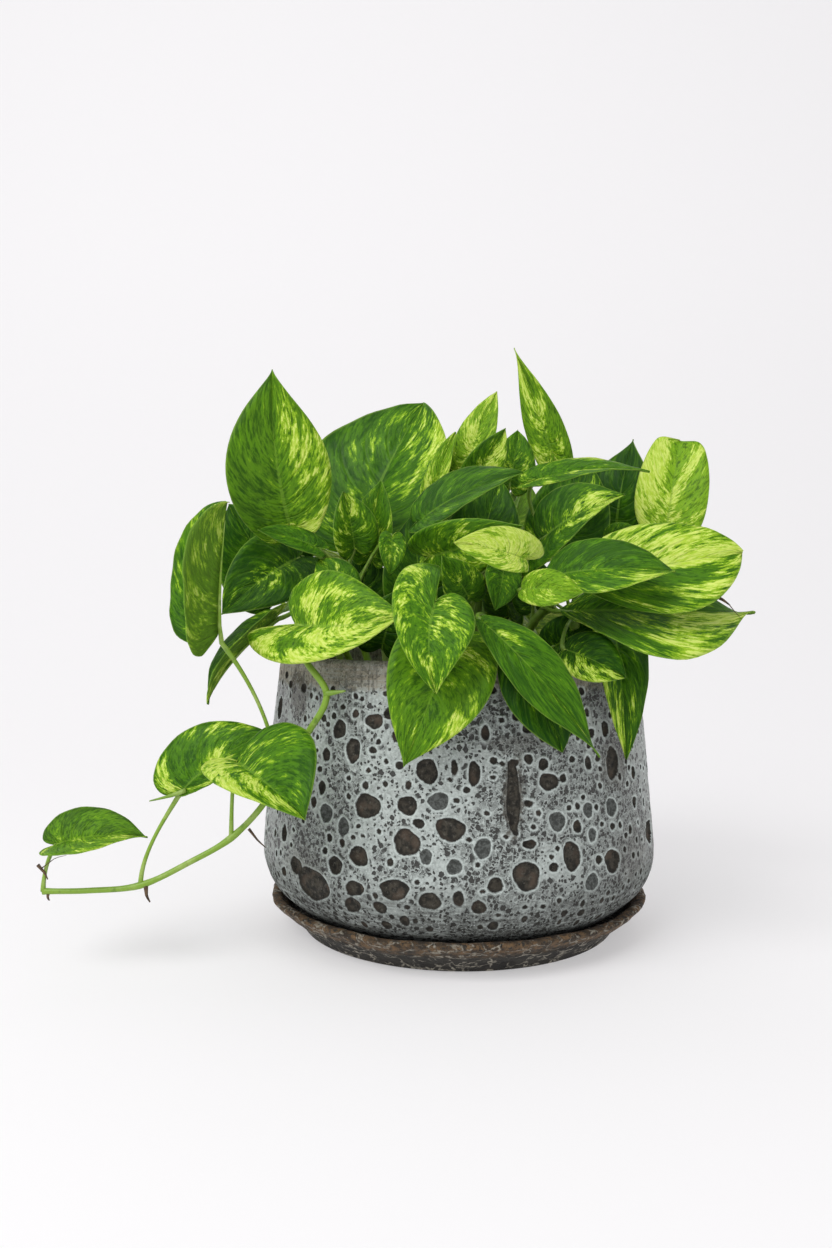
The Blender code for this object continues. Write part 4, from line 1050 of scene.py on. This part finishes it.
def new_blade_side(name, roughness):
    """A thin living blade, which lets some light through: its material, and the marbling of its own veins,
    yellow, light and leaf."""
    made, tree, shader, place = new_material(name, roughness)
    shader.inputs["Specular IOR Level"].default_value = 0.12
    shader.inputs["Subsurface Weight"].default_value = 0.10
    shader.inputs["Subsurface Radius"].default_value = (0.5, 1.0, 0.15)
    shader.inputs["Subsurface Scale"].default_value = 0.0015
    group = tree.nodes.new("ShaderNodeGroup")
    group.node_tree = marbling
    tree.links.new(node(tree, "UVMap", uv_map="veins"), group.inputs["UV"])
    for value in ("Yellow", "Light", "Leaf"):
        tree.links.new(mesh_value(tree, value.lower()), group.inputs[value])
    return made, tree, shader, place, group.outputs


upper, tree, shader, place, marbled = new_blade_side("Leaf upper side", 0.40)
tree.links.new(marbled["Color"], shader.inputs["Base Color"])
tree.links.new(ramp(tree, noise_at(tree, place, 260, 3), 0.3, 0.7, 0.34, 0.48), shader.inputs["Roughness"])
raise_by(tree, shader, marbled["Height"], 0.0006)

underside, tree, shader, place, marbled = new_blade_side("Leaf underside", 0.55)
tree.links.new(blend(tree, 0.40, marbled["Color"], (0.180, 0.300, 0.040)), shader.inputs["Base Color"])
raise_by(tree, shader, times(tree, marbled["Height"], -1.2), 0.0006)

stalk_skin, tree, shader, place = new_material("Stem skin", 0.42)
tone = blend(tree, mesh_value(tree, "light"), (0.050, 0.140, 0.008), (0.270, 0.450, 0.035))
# Mottles, dark streaks and scars: waves a metre, the noise at which they start and are full, strength,
# colour
for scale, start, full, strength, colour in (
        (90, 0.50, 0.66, 0.50, (0.400, 0.520, 0.150)), (160, 0.42, 0.30, 0.60, (0.090, 0.190, 0.012)),
        (420, 0.62, 0.72, 0.45, (0.160, 0.120, 0.055))):
    marked = ramp(tree, noise_at(tree, place, scale, 3), start, full, 0.0, strength)
    tone = blend(tree, marked, tone, colour)
tree.links.new(tone, shader.inputs["Base Color"])
raise_by(tree, shader, noise_at(tree, place, 600, 3), 0.0003)

leaf_number = 0
for name, stem in STEMS.items():
    bm = round_skin([stem_line(stem)] + [stalk_line(stem, one) for one in stem["leaves"]])
    for old in list(bm.loops.layers.uv.values()):
        bm.loops.layers.uv.remove(old)
    layers = (bm.loops.layers.uv.new("veins"), bm.verts.layers.float.new("yellow"),
              bm.verts.layers.float.new("light"), bm.verts.layers.float.new("leaf"))
    for corner in bm.verts:
        corner[layers[2]] = 0.75 if name == "stem_trailing" else 0.45
    for face in bm.faces:
        face.material_index = 2
    for one in stem["leaves"]:
        leaf_number += 1
        grow_blade(bm, layers, one, leaf_number)
    leafy_stem = new_piece("leafy_" + name, bm, upper, underside, stalk_skin)
    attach(leafy_stem, "root")
    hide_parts(name)

# Sheaths
# The green stub of a leaf that fell and the sheath under another, both on the trailing stem. Each row has
# three points in millimetres and the radius at the first.
SHEATHS = (
    ((-79, -105, 159), (-73, -107, 160), (-67, -109, 161), 2.2),
    ((-159, -98, 103), (-168, -98, 100), (-180, -98, 97), 1.7),
)


def drawn_out(table, thin):
    """Round skins through the points of each row, in metres, that end thinner by this share."""
    return round_skin([([Vector(along_route(row[:3], step / 6)) * 0.001 for step in range(7)],
                        [row[3] * 0.001 * (1 - thin * step / 6) for step in range(7)]) for row in table])


bm = drawn_out(SHEATHS, 0.8)
light_layer = bm.verts.layers.float.new("light")
for corner in bm.verts:
    corner[light_layer] = 0.6
sheaths = new_piece("leaf_sheaths", bm, stalk_skin)
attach(sheaths, "root")

# Aerial roots
# Short brown roots and a few dry hairs that grow from the nodes of the trailing stem and of a right one.
# Each row has three points in millimetres and the radius at the first.
ROOTS = (
    ((-124, -93, 80), (-119, -94, 74), (-114, -93, 69), 0.9),
    ((-181, -102, 50), (-180, -104, 45), (-178, -104, 41), 1.4),
    ((-237, -100, 47), (-237, -101, 43), (-236, -101, 41), 1.2),
    ((-243, -100, 61), (-239, -101, 57), (-237, -101, 53), 1.1),
    ((-241, -101, 59), (-233, -102, 65), (-226, -102, 67), 0.35),
    ((140, -106, 215), (145, -108, 212), (149, -108, 209), 1.3),
    ((148, -108, 210), (152, -108, 205), (156, -107, 201), 0.3),
)
bark, tree, shader, place = new_material("Root bark", 0.8)
flaky = noise_at(tree, place, 500, 4, 0.6)
tone = blend(tree, ramp(tree, flaky, 0.35, 0.65), (0.030, 0.016, 0.008), (0.150, 0.092, 0.050))
tree.links.new(tone, shader.inputs["Base Color"])
raise_by(tree, shader, flaky, 0.0004)
roots = new_piece("aerial_roots", drawn_out(ROOTS, 0.75), bark)
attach(roots, "root")
